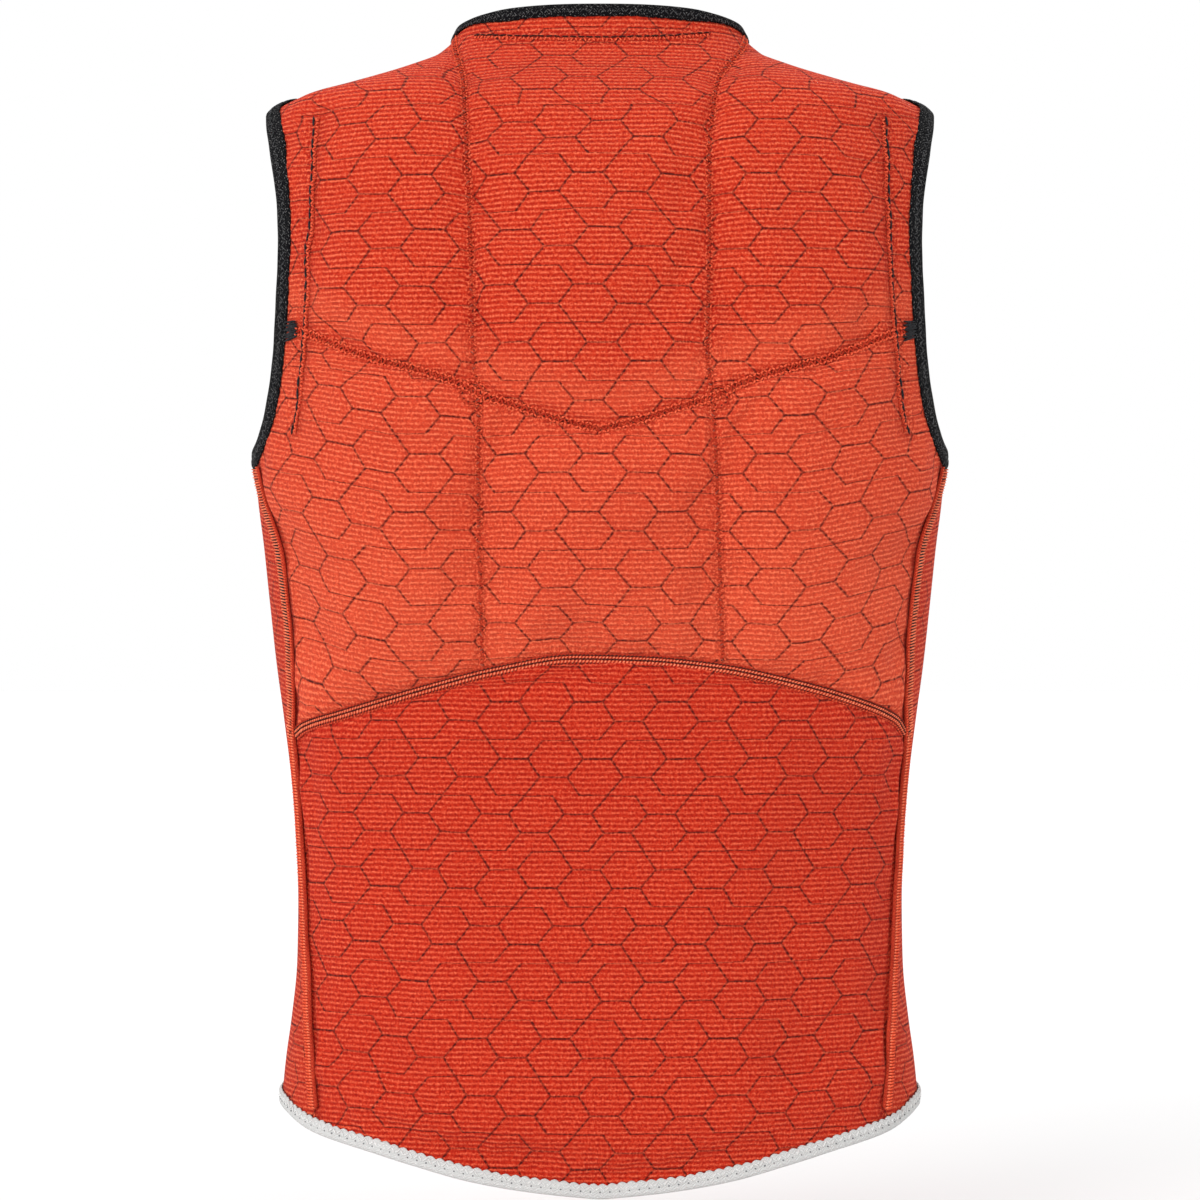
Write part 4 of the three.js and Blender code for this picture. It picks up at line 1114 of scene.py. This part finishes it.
def keep_rim(mesh, ring, count):
    """Keeps a panel's cut edges where they are when its faces are smoothed."""
    rim = np.zeros(2 * count, bool)
    rim[ring] = rim[count + ring] = True
    mesh.attributes.new("crease_vert", "FLOAT", "POINT").data.foreach_set("value", rim.astype(np.float32))
    ends = np.zeros(2 * len(mesh.edges), int)
    mesh.edges.foreach_get("vertices", ends)
    ends = ends.reshape(-1, 2)
    cut = rim[ends].all(1) & ((ends < count).all(1) | (ends >= count).all(1))
    mesh.attributes.new("crease_edge", "FLOAT", "EDGE").data.foreach_set("value", cut.astype(np.float32))
    mesh.attributes.new("sharp_edge", "BOOLEAN", "EDGE").data.foreach_set("value", cut)


# painted crease shade beside the side seams: its place and reach, and the height above which it grows to full
# strength, and over how far
CREASE_PLACE, CREASE_REACH = 3.2, 1.9
CREASE_HEIGHT, CREASE_FADE = 232, 14


def side_shade(grid, low=1.0):
    """Painted shade in the crease beside the side seams; low is its strength under the waist seam."""
    far = np.maximum(nearest_of(grid, (left.back, right.back)) - CREASE_PLACE, 0)
    return mix(low, 1.0, smooth((grid[:, :, 2] - CREASE_HEIGHT) / CREASE_FADE)) * bell(far, CREASE_REACH)


def panel(name, node, fill, look, grid, offset, marks, level=False, **shades):
    """Closed panel of cloth from the offsets of its outer face, with its puckers and shades as attributes."""
    rows, columns = grid.shape[:2]
    inner = grid - normal_at(grid) * WALL
    count = rows * columns
    at = np.arange(count).reshape(rows, columns)
    quads = np.stack([at[:-1, :-1], at[:-1, 1:], at[1:, 1:], at[1:, :-1]], -1).reshape(-1, 4)
    ring = np.concatenate([at[0, :-1], at[:-1, -1], at[-1, :0:-1], at[:0:-1, 0]])
    after = np.roll(ring, -1)
    border = np.stack([after, ring, count + ring, count + after], -1)
    uv = cloth_map(grid, level).reshape(-1, 2) / UV_UNIT
    obj = new_object(
        name, np.concatenate([(grid + offset).reshape(-1, 3), inner.reshape(-1, 3)]),
        np.concatenate([quads, count + quads[:, ::-1], border]).tolist(), np.concatenate([uv, uv]), dressed(look),
    )
    recalculate(obj)
    keep_rim(obj.data, ring, count)
    for key, values in {"sewn": marks, **shades}.items():
        data = obj.data.attributes.new(key, "FLOAT", "POINT").data
        data.foreach_set("value", np.tile(values.ravel(), 2).astype(np.float32))
    smoother = obj.modifiers.new("Smooth", "SUBSURF")
    smoother.levels = smoother.render_levels = 1
    finish_piece(obj, "lining", node)


# ---------------------------------------------------------------- settings

def tint(label, description, value):
    return bpy.props.FloatVectorProperty(
        name=label, description=description, subtype="COLOR", size=3, min=0, max=1, default=value,
    )


def amount(label, description, value, low=0.0, high=1.0):
    return bpy.props.FloatProperty(name=label, description=description, default=value, min=low, max=high)


class LiningSettings(bpy.types.PropertyGroup):
    """Looped stretch lining with its hexagon lines."""
    base: tint("Lining", "Colour of the lining", (0.570, 0.036, 0.012))
    light: tint("Loop tips", "Colour of the loops that catch the light", (0.920, 0.180, 0.082))
    # dark is painted shade in the gaps between the ribs
    dark: tint("Between ribs", "Colour between the ribs", (0.350, 0.009, 0.004))
    line: tint("Lines", "Colour of the hexagon lines", (0.050, 0.006, 0.005))
    sheen: amount("Sheen", "Soft sheen of the loops", 0.02)
    ribs: amount("Rib contrast", "How much the ribs stand out in shade", 0.95, 0.0, 3.0)
    grain: amount("Grain contrast", "How much the loops stand out in shade", 3.0, 0.0, 6.0)
    line_strength: amount("Line strength", "How strongly the hexagon lines show", 0.95)
    relief: amount("Relief", "Height of the loops, in mm", 0.9, 0.0, 3.0)


class TrimSettings(bpy.types.PropertyGroup):
    """Bindings and threads."""
    black: tint("Dark binding", "Colour of the neck and armhole bindings", (0.004, 0.004, 0.005))
    # black_light is painted glints on the twill ridges of the dark binding
    black_light: tint("Dark binding fibres", "Lighter fibres of the dark binding", (0.165, 0.160, 0.156))
    white: tint("Pale binding", "Colour of the hem binding", (0.62, 0.62, 0.61))
    # white_light is painted glints on the hem binding's twill, and the lit fibres of the pale thread
    white_light: tint("Pale binding fibres", "Lighter fibres of the hem binding", (0.80, 0.80, 0.79))
    thread: tint("Orange thread", "Colour of the overlock thread", (0.66, 0.085, 0.030))
    thread_light: tint("Pale orange thread", "Colour of the flatlock thread", (0.85, 0.20, 0.10))
    thread_red: tint("Red thread", "Colour of the quilting thread", (0.42, 0.030, 0.014))
    thread_dark: tint("Dark thread", "Colour of the dark needle thread", (0.040, 0.010, 0.008))
    scallop: bpy.props.FloatProperty(
        name="Scallop", description="Depth of the waves that the zigzag pulls in the binding's edge",
        default=0.0012, min=0, max=0.003, subtype="DISTANCE", unit="LENGTH", precision=4,
    )


class PadSettings(bpy.types.PropertyGroup):
    """Foam behind the lining."""
    lift: bpy.props.FloatProperty(
        name="Pad height", description="How far the back pads stand out",
        default=0.007, min=0, max=0.02, subtype="DISTANCE", unit="LENGTH", precision=4,
    )
    pressure: amount("Pressure", "Push of the foam in the simulation", 1.2, 0.0, 10.0)
    growth: amount("Slack", "Extra cloth that puckers at the seams", 0.02, 0.0, 0.1)


# ---------------------------------------------------------------- materials by name

# hexagon width, place across and up, lean, and strength of red, green and blue; the lower panel's weaker strengths
# are painted shade
LININGS = {
    "lining_upper": (7.55, 15.7, 479, 0.0, (1.0, 1.0, 1.0)),
    "lining_lower": (7.25, -77.5, 200.6, 0.125, (0.93, 0.78, 0.78)),
    "lining_side": (7.25, 0.0, 200.6, 0.0, (0.95, 0.95, 0.95)),
}
BINDINGS = {"dark_binding": "black", "pale_binding": "white"}
# colour of a thread, of its lit and of its shaded fibres; a word is the name of a setting
THREADS = {
    "orange_thread": ("thread", "light", "base"),
    "pale_orange_thread": ("thread_light", (0.93, 0.30, 0.16), "thread"),
    "red_thread": ("thread_red", "thread", "dark"),
    "grey_thread": ((0.30, 0.09, 0.06), (0.40, 0.16, 0.12), (0.16, 0.03, 0.02)),
    "dark_thread": ("thread_dark", (0.09, 0.014, 0.01), (0.02, 0.004, 0.004)),
    "seam_cloth": ((0.42, 0.032, 0.012), (0.56, 0.06, 0.022), (0.25, 0.012, 0.006)),
    "black_thread": ((0.012, 0.012, 0.014), (0.04, 0.04, 0.045), (0.004, 0.004, 0.004)),
    "zigzag_thread": ((0.035, 0.035, 0.037), (0.13, 0.13, 0.135), (0.008, 0.008, 0.009)),
    "mark_thread": ((0.16, 0.16, 0.17), (0.30, 0.30, 0.30), (0.08, 0.08, 0.09)),
    "pale_thread": ("white", "white_light", "white"),
}


def dressed(name):
    """A material by its name, made when it is first asked for."""
    if name in bpy.data.materials:
        return bpy.data.materials[name]
    tone, trim = bpy.context.scene.vest_lining, bpy.context.scene.vest_trim
    if name in LININGS:
        return lining_look(name, tone, *LININGS[name])
    if name in BINDINGS:
        shade = BINDINGS[name]
        return binding_look(name, getattr(trim, shade), getattr(trim, shade + "_light"))
    return thread_look(name, *(
        getattr(trim if hasattr(trim, shade) else tone, shade) if isinstance(shade, str) else shade
        for shade in THREADS[name]
    ))


# ---------------------------------------------------------------- operators

# reach of the painted highlight where the cloth is pulled tight under the yoke seam, and of the painted shade of the
# pucker beside the armhole stitches
TAUT_EDGE, TAUT_REACH = 4, 10
TAUT_LOW, TAUT_RIM, TAUT_RIM_REACH = 60, 16, 12
PUCKER_PLACE, PUCKER_REACH, PUCKER_SHADE = 3.5, 3.2, 0.38


class VEST_OT_upper_back(bpy.types.Operator):
    """Padded upper back with its sewn channels and pointed yoke seam"""
    bl_idname = "vest.upper_back"
    bl_label = "Upper back"

    def execute(self, context):
        grid = back_upper_grid()
        edges = Edges(
            grid, (left.rim, right.rim, neck_back), (waist, left.back, right.back),
            (yoke, *channels.values(), *arm_stitches.values(), collar_stitch),
        )
        fall = run_grid(grid, 0)
        fade = smooth((fall[-1:] - fall) / SHOULDER_FADE)
        lift = edges.lift(context.scene.vest_pads.lift * 1000) * (0.05 + 0.95 * fade)
        open_seams(grid, True, False, False, False)
        offset = inflate("upper_back", grid, lift, edges.still(), 1.0, 4.0, fade[..., None])
        skins["upper_back"] = Skin(grid, offset)
        x, z = grid[:, :, 0], grid[:, :, 2]
        # painted highlight under the yoke seam, and in a band just above it
        under = np.interp(x, yoke[:, 0], yoke[:, 2]) - z
        taut = smooth((under + TAUT_EDGE) / TAUT_REACH) * (0.6 + 0.4 * smooth((under - TAUT_LOW) / TAUT_LOW))
        taut = np.maximum(taut, 0.8 * bell(under + TAUT_RIM, TAUT_RIM_REACH))
        # painted crease shade beside the side seams, and painted shade of the pucker inside the armhole stitches
        deep = side_shade(grid)
        for side, line in arm_stitches.items():
            inner = side * (np.interp(z, line[:, 2], line[:, 0]) - x)
            near = bell(line_distance(grid, line) - PUCKER_PLACE, PUCKER_REACH)
            deep = np.maximum(deep, PUCKER_SHADE * smooth(inner / 1.5) * near)
        panel(
            "upper_back_lining", "back_upper_panel", 0.7, "lining_upper", grid, offset, edges.marks(), True,
            taut=taut, deep=deep,
        )
        return {"FINISHED"}


class VEST_OT_lower_back(bpy.types.Operator):
    """Lower back panel below the arched waist seam"""
    bl_idname = "vest.lower_back"
    bl_label = "Lower back"

    def execute(self, context):
        grid = simple_grid(
            hem_arc(left.low[0], right.low[0]), waist, left.low, right.low, ROWS_LOWER, sum(BACK_COLUMNS),
        )
        edges = Edges(grid, (hem_line(-100, 100),), (waist, left.low, right.low), ())
        lift = edges.lift(LUMBAR_LIFT)
        open_seams(grid, False, True, True, True)
        offset = inflate("lower_back", grid, lift, edges.still(), 0.6, 3.0)
        panel(
            "lower_back_lining", "back_lower_panel", 0.5, "lining_lower", grid, offset, edges.marks(), True,
            deep=side_shade(grid, 0.45),
        )
        return {"FINISHED"}


def plain_panel(name, node, fill, grid, edges, seams, lift):
    """Panel without pads, its swell modelled."""
    edges = Edges(grid, edges, seams, ())
    open_seams(grid, False, False, True, True)
    offset = normal_at(grid) * edges.lift(lift)[..., None]
    panel(name, node, fill, "lining_side", grid, offset, edges.marks())


class VEST_OT_sides(bpy.types.Operator):
    """Side panels under the armholes"""
    bl_idname = "vest.sides"
    bl_label = "Side panels"

    def execute(self, context):
        for side, lines in (("left", left), ("right", right)):
            hem = hem_arc(lines.low[0], lines.front[0])
            grid = simple_grid(hem, lines.arm_under, lines.back, lines.front, ROWS_SIDE, SIDE_COLUMNS)
            plain_panel(
                "side_lining_" + side, "side_panel_" + side, 0.4, grid, (hem, lines.arm_under),
                (lines.back, lines.front), SIDE_LIFT,
            )
        return {"FINISHED"}


class VEST_OT_front(bpy.types.Operator):
    """Plain chest panel, out of the camera's sight"""
    bl_idname = "vest.front"
    bl_label = "Front"

    def execute(self, context):
        grid = simple_grid(
            hem_arc(left.front[0], right.front[0]), joined(joined(left.ridge, neck_front), right.ridge[::-1]),
            joined(left.front, left.arm_front), joined(right.front, right.arm_front),
            ROWS_FRONT, FRONT_COLUMNS, 0.0,
        )
        plain_panel(
            "front_lining", "front_panel", 0.5, grid, (left.rim, right.rim, neck_front, hem_line(90, 270)),
            (left.front, right.front), FRONT_LIFT,
        )
        return {"FINISHED"}


NECK_WIDTH, NECK_NARROWER = 5.4, 2.6
NECK_NARROW_FROM, NECK_NARROW_OVER = 48, 24
ARM_WIDTH, ARM_WIDER = 8.6, 3.2
ARM_WIDE_FROM, ARM_WIDE_OVER = 515, 45
HEM_WIDTH = 5.4


def neck_width(p):
    """Width of the neck binding, narrower where it turns over the shoulders."""
    return NECK_WIDTH - NECK_NARROWER * smooth((np.abs(p[:, 0]) - NECK_NARROW_FROM) / NECK_NARROW_OVER)


def armhole_width(p):
    """Width of the armhole bindings, wider at the top of the back."""
    return ARM_WIDTH + ARM_WIDER * smooth((p[:, 2] - ARM_WIDE_FROM) / ARM_WIDE_OVER) * smooth(-p[:, 1] / 12)


def bind(name, node, rim, toward, width, pitch, cloth, scallop, rows):
    """Folded binding on an edge, and the rows of thread that hold it down.

    A row is its name and thread, then in mm and radians: depth, length, radius, slant, height, pitch.
    """
    slot = BINDINGS[cloth] + "_binding"
    finish_piece(folded_binding(name, rim, toward, width, pitch, dressed(cloth), scallop), slot, node)
    for row_name, thread, depth, length, radius, slant, height, row_pitch in rows:
        p, normal, inward, along = rim_frames(rim, row_pitch, toward)
        count = len(p) // 2 * 2
        seat = settle(p[:count] + inward[:count] * depth)
        out = normal_at(seat)
        stitches(
            row_name, seat + out * height, unit(np.cross(inward[:count], out)), out, thread, slot,
            stitch_length=length / 1000, thread_radius=radius / 1000, slant=slant, alternate=1.0, unevenness=0.06,
        )


class VEST_OT_bindings(bpy.types.Operator):
    """Stretch bindings folded over the neck, armholes and hem"""
    bl_idname = "vest.bindings"
    bl_label = "Bindings"

    def execute(self, context):
        neck = np.concatenate([neck_back, neck_front[::-1][1:-1]])
        above = np.array((0.0, 0.0, NECK_TOP + 60))
        bind(
            "neck_binding_band", "neck_binding", neck, lambda p: p - above, neck_width, 1.3, "dark_binding", 0.35,
            [("neck_zigzag", "zigzag_thread", 2.6, 3.0, 0.28, 0.9, 1.7, 2.4)],
        )
        for side, lines in (("left", left), ("right", right)):
            centre = np.array((lines.rim[0][0], 0.0, TIP_HEIGHT - ARMHOLE_HEIGHT / 2))
            bind(
                "armhole_binding_band_" + side, "armhole_binding_" + side, lines.rim, lambda p: p - centre,
                armhole_width, 1.3, "dark_binding", 0.6,
                [("armhole_zigzag_" + side, "zigzag_thread", 4.6, 4.6, 0.32, 0.95, 1.72, 2.6)],
            )
        up = np.array((0.0, 0.0, 1.0))
        bind(
            "hem_binding_band", "hem_binding", hem_line(-180, 180)[:-1], lambda p: up, lambda p: HEM_WIDTH, 0.65,
            "pale_binding", context.scene.vest_trim.scallop * 1000,
            [
                ("hem_zigzag", "pale_thread", 3.7, 4.4, 0.36, 0.8, 1.72, 2.6),
                ("hem_needle_marks", "mark_thread", 2.1, 1.0, 0.45, 0.0, 1.62, 5.2),
            ],
        )
        return {"FINISHED"}


NEAREST = 4


class Skin:
    """Height of the finished cloth over the body form."""

    def __init__(self, grid, offset):
        self.heights = (offset * normal_at(grid)).sum(-1).ravel()
        self.tree = KDTree(len(self.heights))
        for k, p in enumerate(grid.reshape(-1, 3)):
            self.tree.insert(p, k)
        self.tree.balance()

    def at(self, points):
        result = []
        for p in points:
            near = self.tree.find_n(p, NEAREST)
            shares = [1 / (d + 0.3) ** 2 for _, _, d in near]
            result.append(sum(w * self.heights[k] for w, (_, k, _) in zip(shares, near)) / sum(shares))
        return np.array(result)


skins = {}


def sew(name, line, rows, start=0.0, end=0.0, side=1.0, skin=None):
    """Rows of stitches beside a line.

    A row is its thread, then in mm and radians: offset, length, radius, slant, height, pitch,
    whether it zigzags, and how far it leans over to the side.
    """
    for k, (thread, offset, length, radius, slant, height, pitch, zigzag, lean) in enumerate(rows):
        p, along, out = frames_along(line, pitch, offset * side, start, end)
        if skin:
            p = p + out * skin.at(p)[:, None]
        tipped = unit(out + unit(np.cross(along, out)) * lean * side)
        stitches(
            f"{name}_{k + 1}", p + out * height, along, tipped, thread, "seam_thread",
            stitch_length=length / 1000, thread_radius=radius / 1000, slant=slant * side, alternate=zigzag,
            seed=k + 3,
        )


# profiles of the raised seams: sideways and outward
SEAM_CORE = (
    (-2.6, 0.35), (2.8, 0.35), (3.1, 0.9), (3.0, 1.6), (2.3, 2.2), (1.5, 2.1), (1.1, 1.9),
    (0.4, 2.4), (-0.8, 3.0), (-2.0, 3.3), (-2.7, 2.8), (-2.9, 1.4),
)
# rows of stitches, as sew reads them
BACK_SEAM_ROWS = (
    ("pale_orange_thread", 0.3, 4.4, 0.50, 1.2, 2.85, 1.6, 0.0, 0.85),
    ("black_thread", 0.5, 3.6, 0.44, 1.2, 2.75, 1.585, 0.0, 0.85),
    ("orange_thread", 2.3, 1.9, 0.40, 1.2, 2.1, 1.5, 0.0, 0.3),
)
LOW_SEAM_ROWS = (
    ("orange_thread", 0.0, 4.2, 0.50, 1.2, 2.95, 1.6, 0.0, 0.6),
    ("pale_orange_thread", 1.0, 2.4, 0.40, 1.2, 2.4, 1.6, 0.0, 0.6),
    ("red_thread", 2.3, 1.9, 0.40, 1.2, 2.1, 1.5, 0.0, 0.3),
)
FRONT_SEAM_ROWS = (
    ("orange_thread", -0.4, 4.6, 0.5, 1.2, 2.95, 1.7, 0.0, 0.4),
    ("dark_thread", -1.0, 2.6, 0.3, 1.2, 3.3, 1.7, 0.0, 0.4),
)
# profile and rows of the waist seam
WAIST_BAND = (
    (-3.4, 0.35), (3.3, 0.35), (3.1, 0.8), (2.2, 1.0), (0.9, 1.35), (-0.3, 1.0),
    (-1.25, 1.3), (-2.3, 0.95), (-3.2, 0.8),
)
WAIST_ROWS = (
    ("red_thread", -3.2, 1.6, 0.26, 0.6, 0.95, 2.1, 0.0, 0.0),
    ("dark_thread", -2.3, 2.3, 0.42, 0.18, 1.2, 2.1, 0.0, 0.0),
    ("pale_orange_thread", -1.3, 1.9, 0.46, 0.85, 1.2, 1.75, 0.0, 0.0),
    ("dark_thread", -0.35, 2.4, 0.46, 0.18, 1.35, 2.1, 0.0, 0.0),
    ("pale_orange_thread", 0.85, 2.0, 0.56, 0.95, 1.3, 1.9, 0.0, 0.0),
    ("dark_thread", 1.85, 1.5, 0.36, 0.8, 1.2, 1.9, 0.0, 0.0),
    ("orange_thread", 2.8, 1.5, 0.30, 0.7, 0.9, 2.3, 0.0, 0.0),
)
CHANNEL_ROWS = (
    ("red_thread", 0.0, 3.4, 0.42, 0.95, 0.5, 1.8, 1.0, 0.0),
    ("orange_thread", 1.3, 1.8, 0.42, 0.6, 0.7, 2.6, 1.0, 0.0),
    ("orange_thread", -1.5, 1.8, 0.42, 0.6, 0.7, 2.9, 1.0, 0.0),
    ("grey_thread", -0.5, 2.4, 0.24, 0.9, 0.9, 7.9, 1.0, 0.0),
    ("dark_thread", 0.4, 1.6, 0.26, 0.9, 0.8, 6.7, 1.0, 0.0),
)
YOKE_ROWS = (
    ("red_thread", 0.0, 4.6, 0.50, 1.0, 0.6, 1.7, 1.0, 0.0),
    ("orange_thread", 1.7, 2.4, 0.55, 0.6, 0.9, 2.0, 1.0, 0.0),
    ("orange_thread", -1.7, 2.4, 0.55, 0.6, 0.9, 2.1, 1.0, 0.0),
    ("dark_thread", 0.4, 2.0, 0.28, 1.0, 0.9, 8.3, 1.0, 0.0),
)
KNOT_ROWS = (
    ("red_thread", 0.0, 2.4, 0.50, 0.5, 0.8, 1.5, 1.0, 0.0),
    ("orange_thread", 1.1, 1.9, 0.48, 0.2, 1.0, 1.9, 1.0, 0.0),
    ("dark_thread", -0.9, 1.4, 0.30, 0.5, 0.9, 3.1, 1.0, 0.0),
)
ARM_ROWS = (
    ("black_thread", 0.0, 6.2, 0.60, 0.06, 0.75, 6.0, 1.0, 0.0),
    ("orange_thread", -2.2, 2.9, 0.55, 1.0, 0.8, 1.8, 1.0, 0.0),
    ("red_thread", -3.4, 2.2, 0.50, 0.6, 0.7, 2.1, 1.0, 0.0),
)
COLLAR_ROWS = (
    ("dark_thread", 0.0, 4.4, 0.50, 0.08, 0.7, 4.1, 1.0, 0.0),
    ("orange_thread", 1.8, 2.4, 0.50, 1.1, 0.7, 2.3, 1.0, 0.0),
)


# lengths left free at the ends of the seams
SEAM_END, WAIST_END, YOKE_END, CHANNEL_FOOT = 12, 5, 16, 5
CORE_PITCH = 1.6


class VEST_OT_side_seams(bpy.types.Operator):
    """Overlocked seams that stand up at the sides"""
    bl_idname = "vest.side_seams"
    bl_label = "Side seams"

    def execute(self, context):
        for side, lines, sign in (("left", left, 1), ("right", right, -1)):
            waist_run, whole_run = run_of(lines.low)[-1], run_of(lines.back)[-1]
            sew(f"low_seam_{side}", lines.back, LOW_SEAM_ROWS, SEAM_END, whole_run - waist_run, sign)
            for place, line, rows, first in (
                ("back", lines.back, BACK_SEAM_ROWS, waist_run), ("front", lines.front, FRONT_SEAM_ROWS, SEAM_END),
            ):
                obj = raised_strip(
                    f"{place}_seam_core_{side}", line, [(sign * d, h) for d, h in SEAM_CORE], CORE_PITCH,
                    dressed("seam_cloth"), SEAM_END, SEAM_END, 0.3,
                )
                finish_piece(obj, "seam_thread", f"{place}_side_seam_{side}")
                sew(f"{place}_seam_{side}", line, rows, first, SEAM_END, sign)
        return {"FINISHED"}


class VEST_OT_waist_seam(bpy.types.Operator):
    """Flat seam that arches over the lower back"""
    bl_idname = "vest.waist_seam"
    bl_label = "Waist seam"

    def execute(self, context):
        obj = raised_strip(
            "waist_seam_band", waist, WAIST_BAND, CORE_PITCH, dressed("seam_cloth"), WAIST_END, WAIST_END, 0.1,
        )
        finish_piece(obj, "seam_thread", "waist_seam")
        sew("waist_seam", waist, WAIST_ROWS, WAIST_END, WAIST_END)
        return {"FINISHED"}


class VEST_OT_quilting(bpy.types.Operator):
    """Stitches of the channels, the yoke seam, the armholes and the collar"""
    bl_idname = "vest.quilting"
    bl_label = "Quilting"

    def execute(self, context):
        skin = skins.get("upper_back")
        sew("yoke_stitch", yoke, YOKE_ROWS, YOKE_END, YOKE_END, 1, skin)
        sew("collar_stitch", collar_stitch, COLLAR_ROWS, 0, 0, 1, skin)
        for side, sign in (("left", -1), ("right", 1)):
            sew("channel_stitch_" + side, channels[sign], CHANNEL_ROWS, CHANNEL_FOOT, YOKE_END, 1, skin)
            sew("knot_" + side, knots[sign], KNOT_ROWS, 0, 0, 1, skin)
            sew("armhole_stitch_" + side, arm_stitches[sign], ARM_ROWS, 0, 0, sign, skin)
        return {"FINISHED"}


TACK_PLACE = 163.5
TACK_THREADS = 13
TACK_REACH = 430


class VEST_OT_bartacks(bpy.types.Operator):
    """Dense tacks at the ends of the yoke seam"""
    bl_idname = "vest.bartacks"
    bl_label = "Bar tacks"

    def execute(self, context):
        for side, sign in (("left", -1), ("right", 1)):
            low, high = (corner[2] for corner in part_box("bartack_" + side))
            middle, reach = (low + high) * 500 + STRAP_HEIGHT, (high - low) * TACK_REACH
            z = np.linspace(middle - reach, middle + reach, TACK_THREADS)
            base = face_at(np.full(TACK_THREADS, sign * TACK_PLACE), z, -1)
            out = normal_at(base)
            stitches(
                "bartack_threads_" + side, base, unit(np.cross(out, (0.0, 0.0, 1.0))), out, "black_thread",
                "tack_thread", "bartack_" + side,
                stitch_length=0.0115, thread_radius=0.0006, height=0.0017, slant=0.1, alternate=1.0, unevenness=0.22,
            )
        return {"FINISHED"}


FLOOR_HALF, FLOOR_HEIGHT = 14.0, -0.64
PAPER, PAPER_LIGHT, PAPER_DARK = (0.86, 0.86, 0.86), (0.87, 0.87, 0.87), (0.84, 0.84, 0.84)
# place, spread in degrees, strength
LIGHTS = {
    "key": ((-0.67, -1.0, 0.42), 35.0, 1.47), "fill": ((0.9, -1.0, 0.3), 80.0, 0.15),
    "back": ((0.3, 1.0, 0.7), 60.0, 0.5),
}
CAMERA_PLACE = (0, -2.2, -0.265)
LENS, SENSOR = 120, 36


class VEST_OT_stage(bpy.types.Operator):
    """Pale floor, soft lights and the camera"""
    bl_idname = "vest.stage"
    bl_label = "Stage"

    def execute(self, context):
        scene = context.scene
        scene.view_settings.view_transform = "Standard"
        mesh = bpy.data.meshes.new("floor")
        corners = [(x * FLOOR_HALF, y * FLOOR_HALF, FLOOR_HEIGHT) for x, y in ((-1, -1), (1, -1), (1, 1), (-1, 1))]
        mesh.from_pydata(corners, [], [(0, 1, 2, 3)])
        floor = bpy.data.objects.new("floor", mesh)
        scene.collection.objects.link(floor)
        pale = Look("floor_paper", PAPER, 0.95)
        cloudy = pale.noise(pale.node("ShaderNodeTexCoord", output=3), 3.0) * 0.3
        pale.feed(colour=pale.blend(cloudy, colour(PAPER_LIGHT), colour(PAPER_DARK)))
        mesh.materials.append(pale.material)
        world = bpy.data.worlds.new("soft_room")
        world.use_nodes = True
        room = next(n for n in world.node_tree.nodes if n.type == "BACKGROUND")
        room.inputs["Color"].default_value = (1.0, 1.0, 1.0, 1)
        room.inputs["Strength"].default_value = 1.0
        scene.world = world
        for name, (place, spread, energy) in LIGHTS.items():
            light = bpy.data.lights.new(name, "SUN")
            light.angle = math.radians(spread)
            light.energy = energy
            lamp = bpy.data.objects.new(name, light)
            scene.collection.objects.link(lamp)
            lamp.location = place
            lamp.rotation_euler = (-Vector(place)).to_track_quat("-Z", "Y").to_euler()
        lens = bpy.data.cameras.new("camera")
        lens.lens = LENS
        lens.sensor_width = SENSOR
        camera = bpy.data.objects.new("camera", lens)
        scene.collection.objects.link(camera)
        camera.location = CAMERA_PLACE
        camera.rotation_euler = (math.radians(90), 0, 0)
        scene.camera = camera
        return {"FINISHED"}


STEPS = (
    VEST_OT_stage, VEST_OT_upper_back, VEST_OT_lower_back, VEST_OT_sides, VEST_OT_front, VEST_OT_bindings,
    VEST_OT_side_seams, VEST_OT_waist_seam, VEST_OT_quilting, VEST_OT_bartacks,
)
SETTINGS = {"vest_lining": LiningSettings, "vest_trim": TrimSettings, "vest_pads": PadSettings}


class VEST_PT_panel(bpy.types.Panel):
    """Settings and pieces of the impact vest"""
    bl_idname = "VEST_PT_panel"
    bl_label = "Impact vest"
    bl_space_type = "VIEW_3D"
    bl_region_type = "UI"
    bl_category = "Impact vest"

    def draw(self, context):
        for key, group in SETTINGS.items():
            box = self.layout.box()
            for name in group.__annotations__:
                box.prop(getattr(context.scene, key), name)
        for step in STEPS:
            self.layout.operator(step.bl_idname)


def register():
    for item in (*SETTINGS.values(), *STEPS, VEST_PT_panel):
        bpy.utils.register_class(item)
    for key, group in SETTINGS.items():
        setattr(bpy.types.Scene, key, bpy.props.PointerProperty(type=group))


def unregister():
    for key in SETTINGS:
        delattr(bpy.types.Scene, key)
    for item in (VEST_PT_panel, *reversed(STEPS), *SETTINGS.values()):
        bpy.utils.unregister_class(item)


def main():
    register()
    for step in STEPS:
        module, name = step.bl_idname.split(".")
        getattr(getattr(bpy.ops, module), name)()


if __name__ == "__main__":
    main()
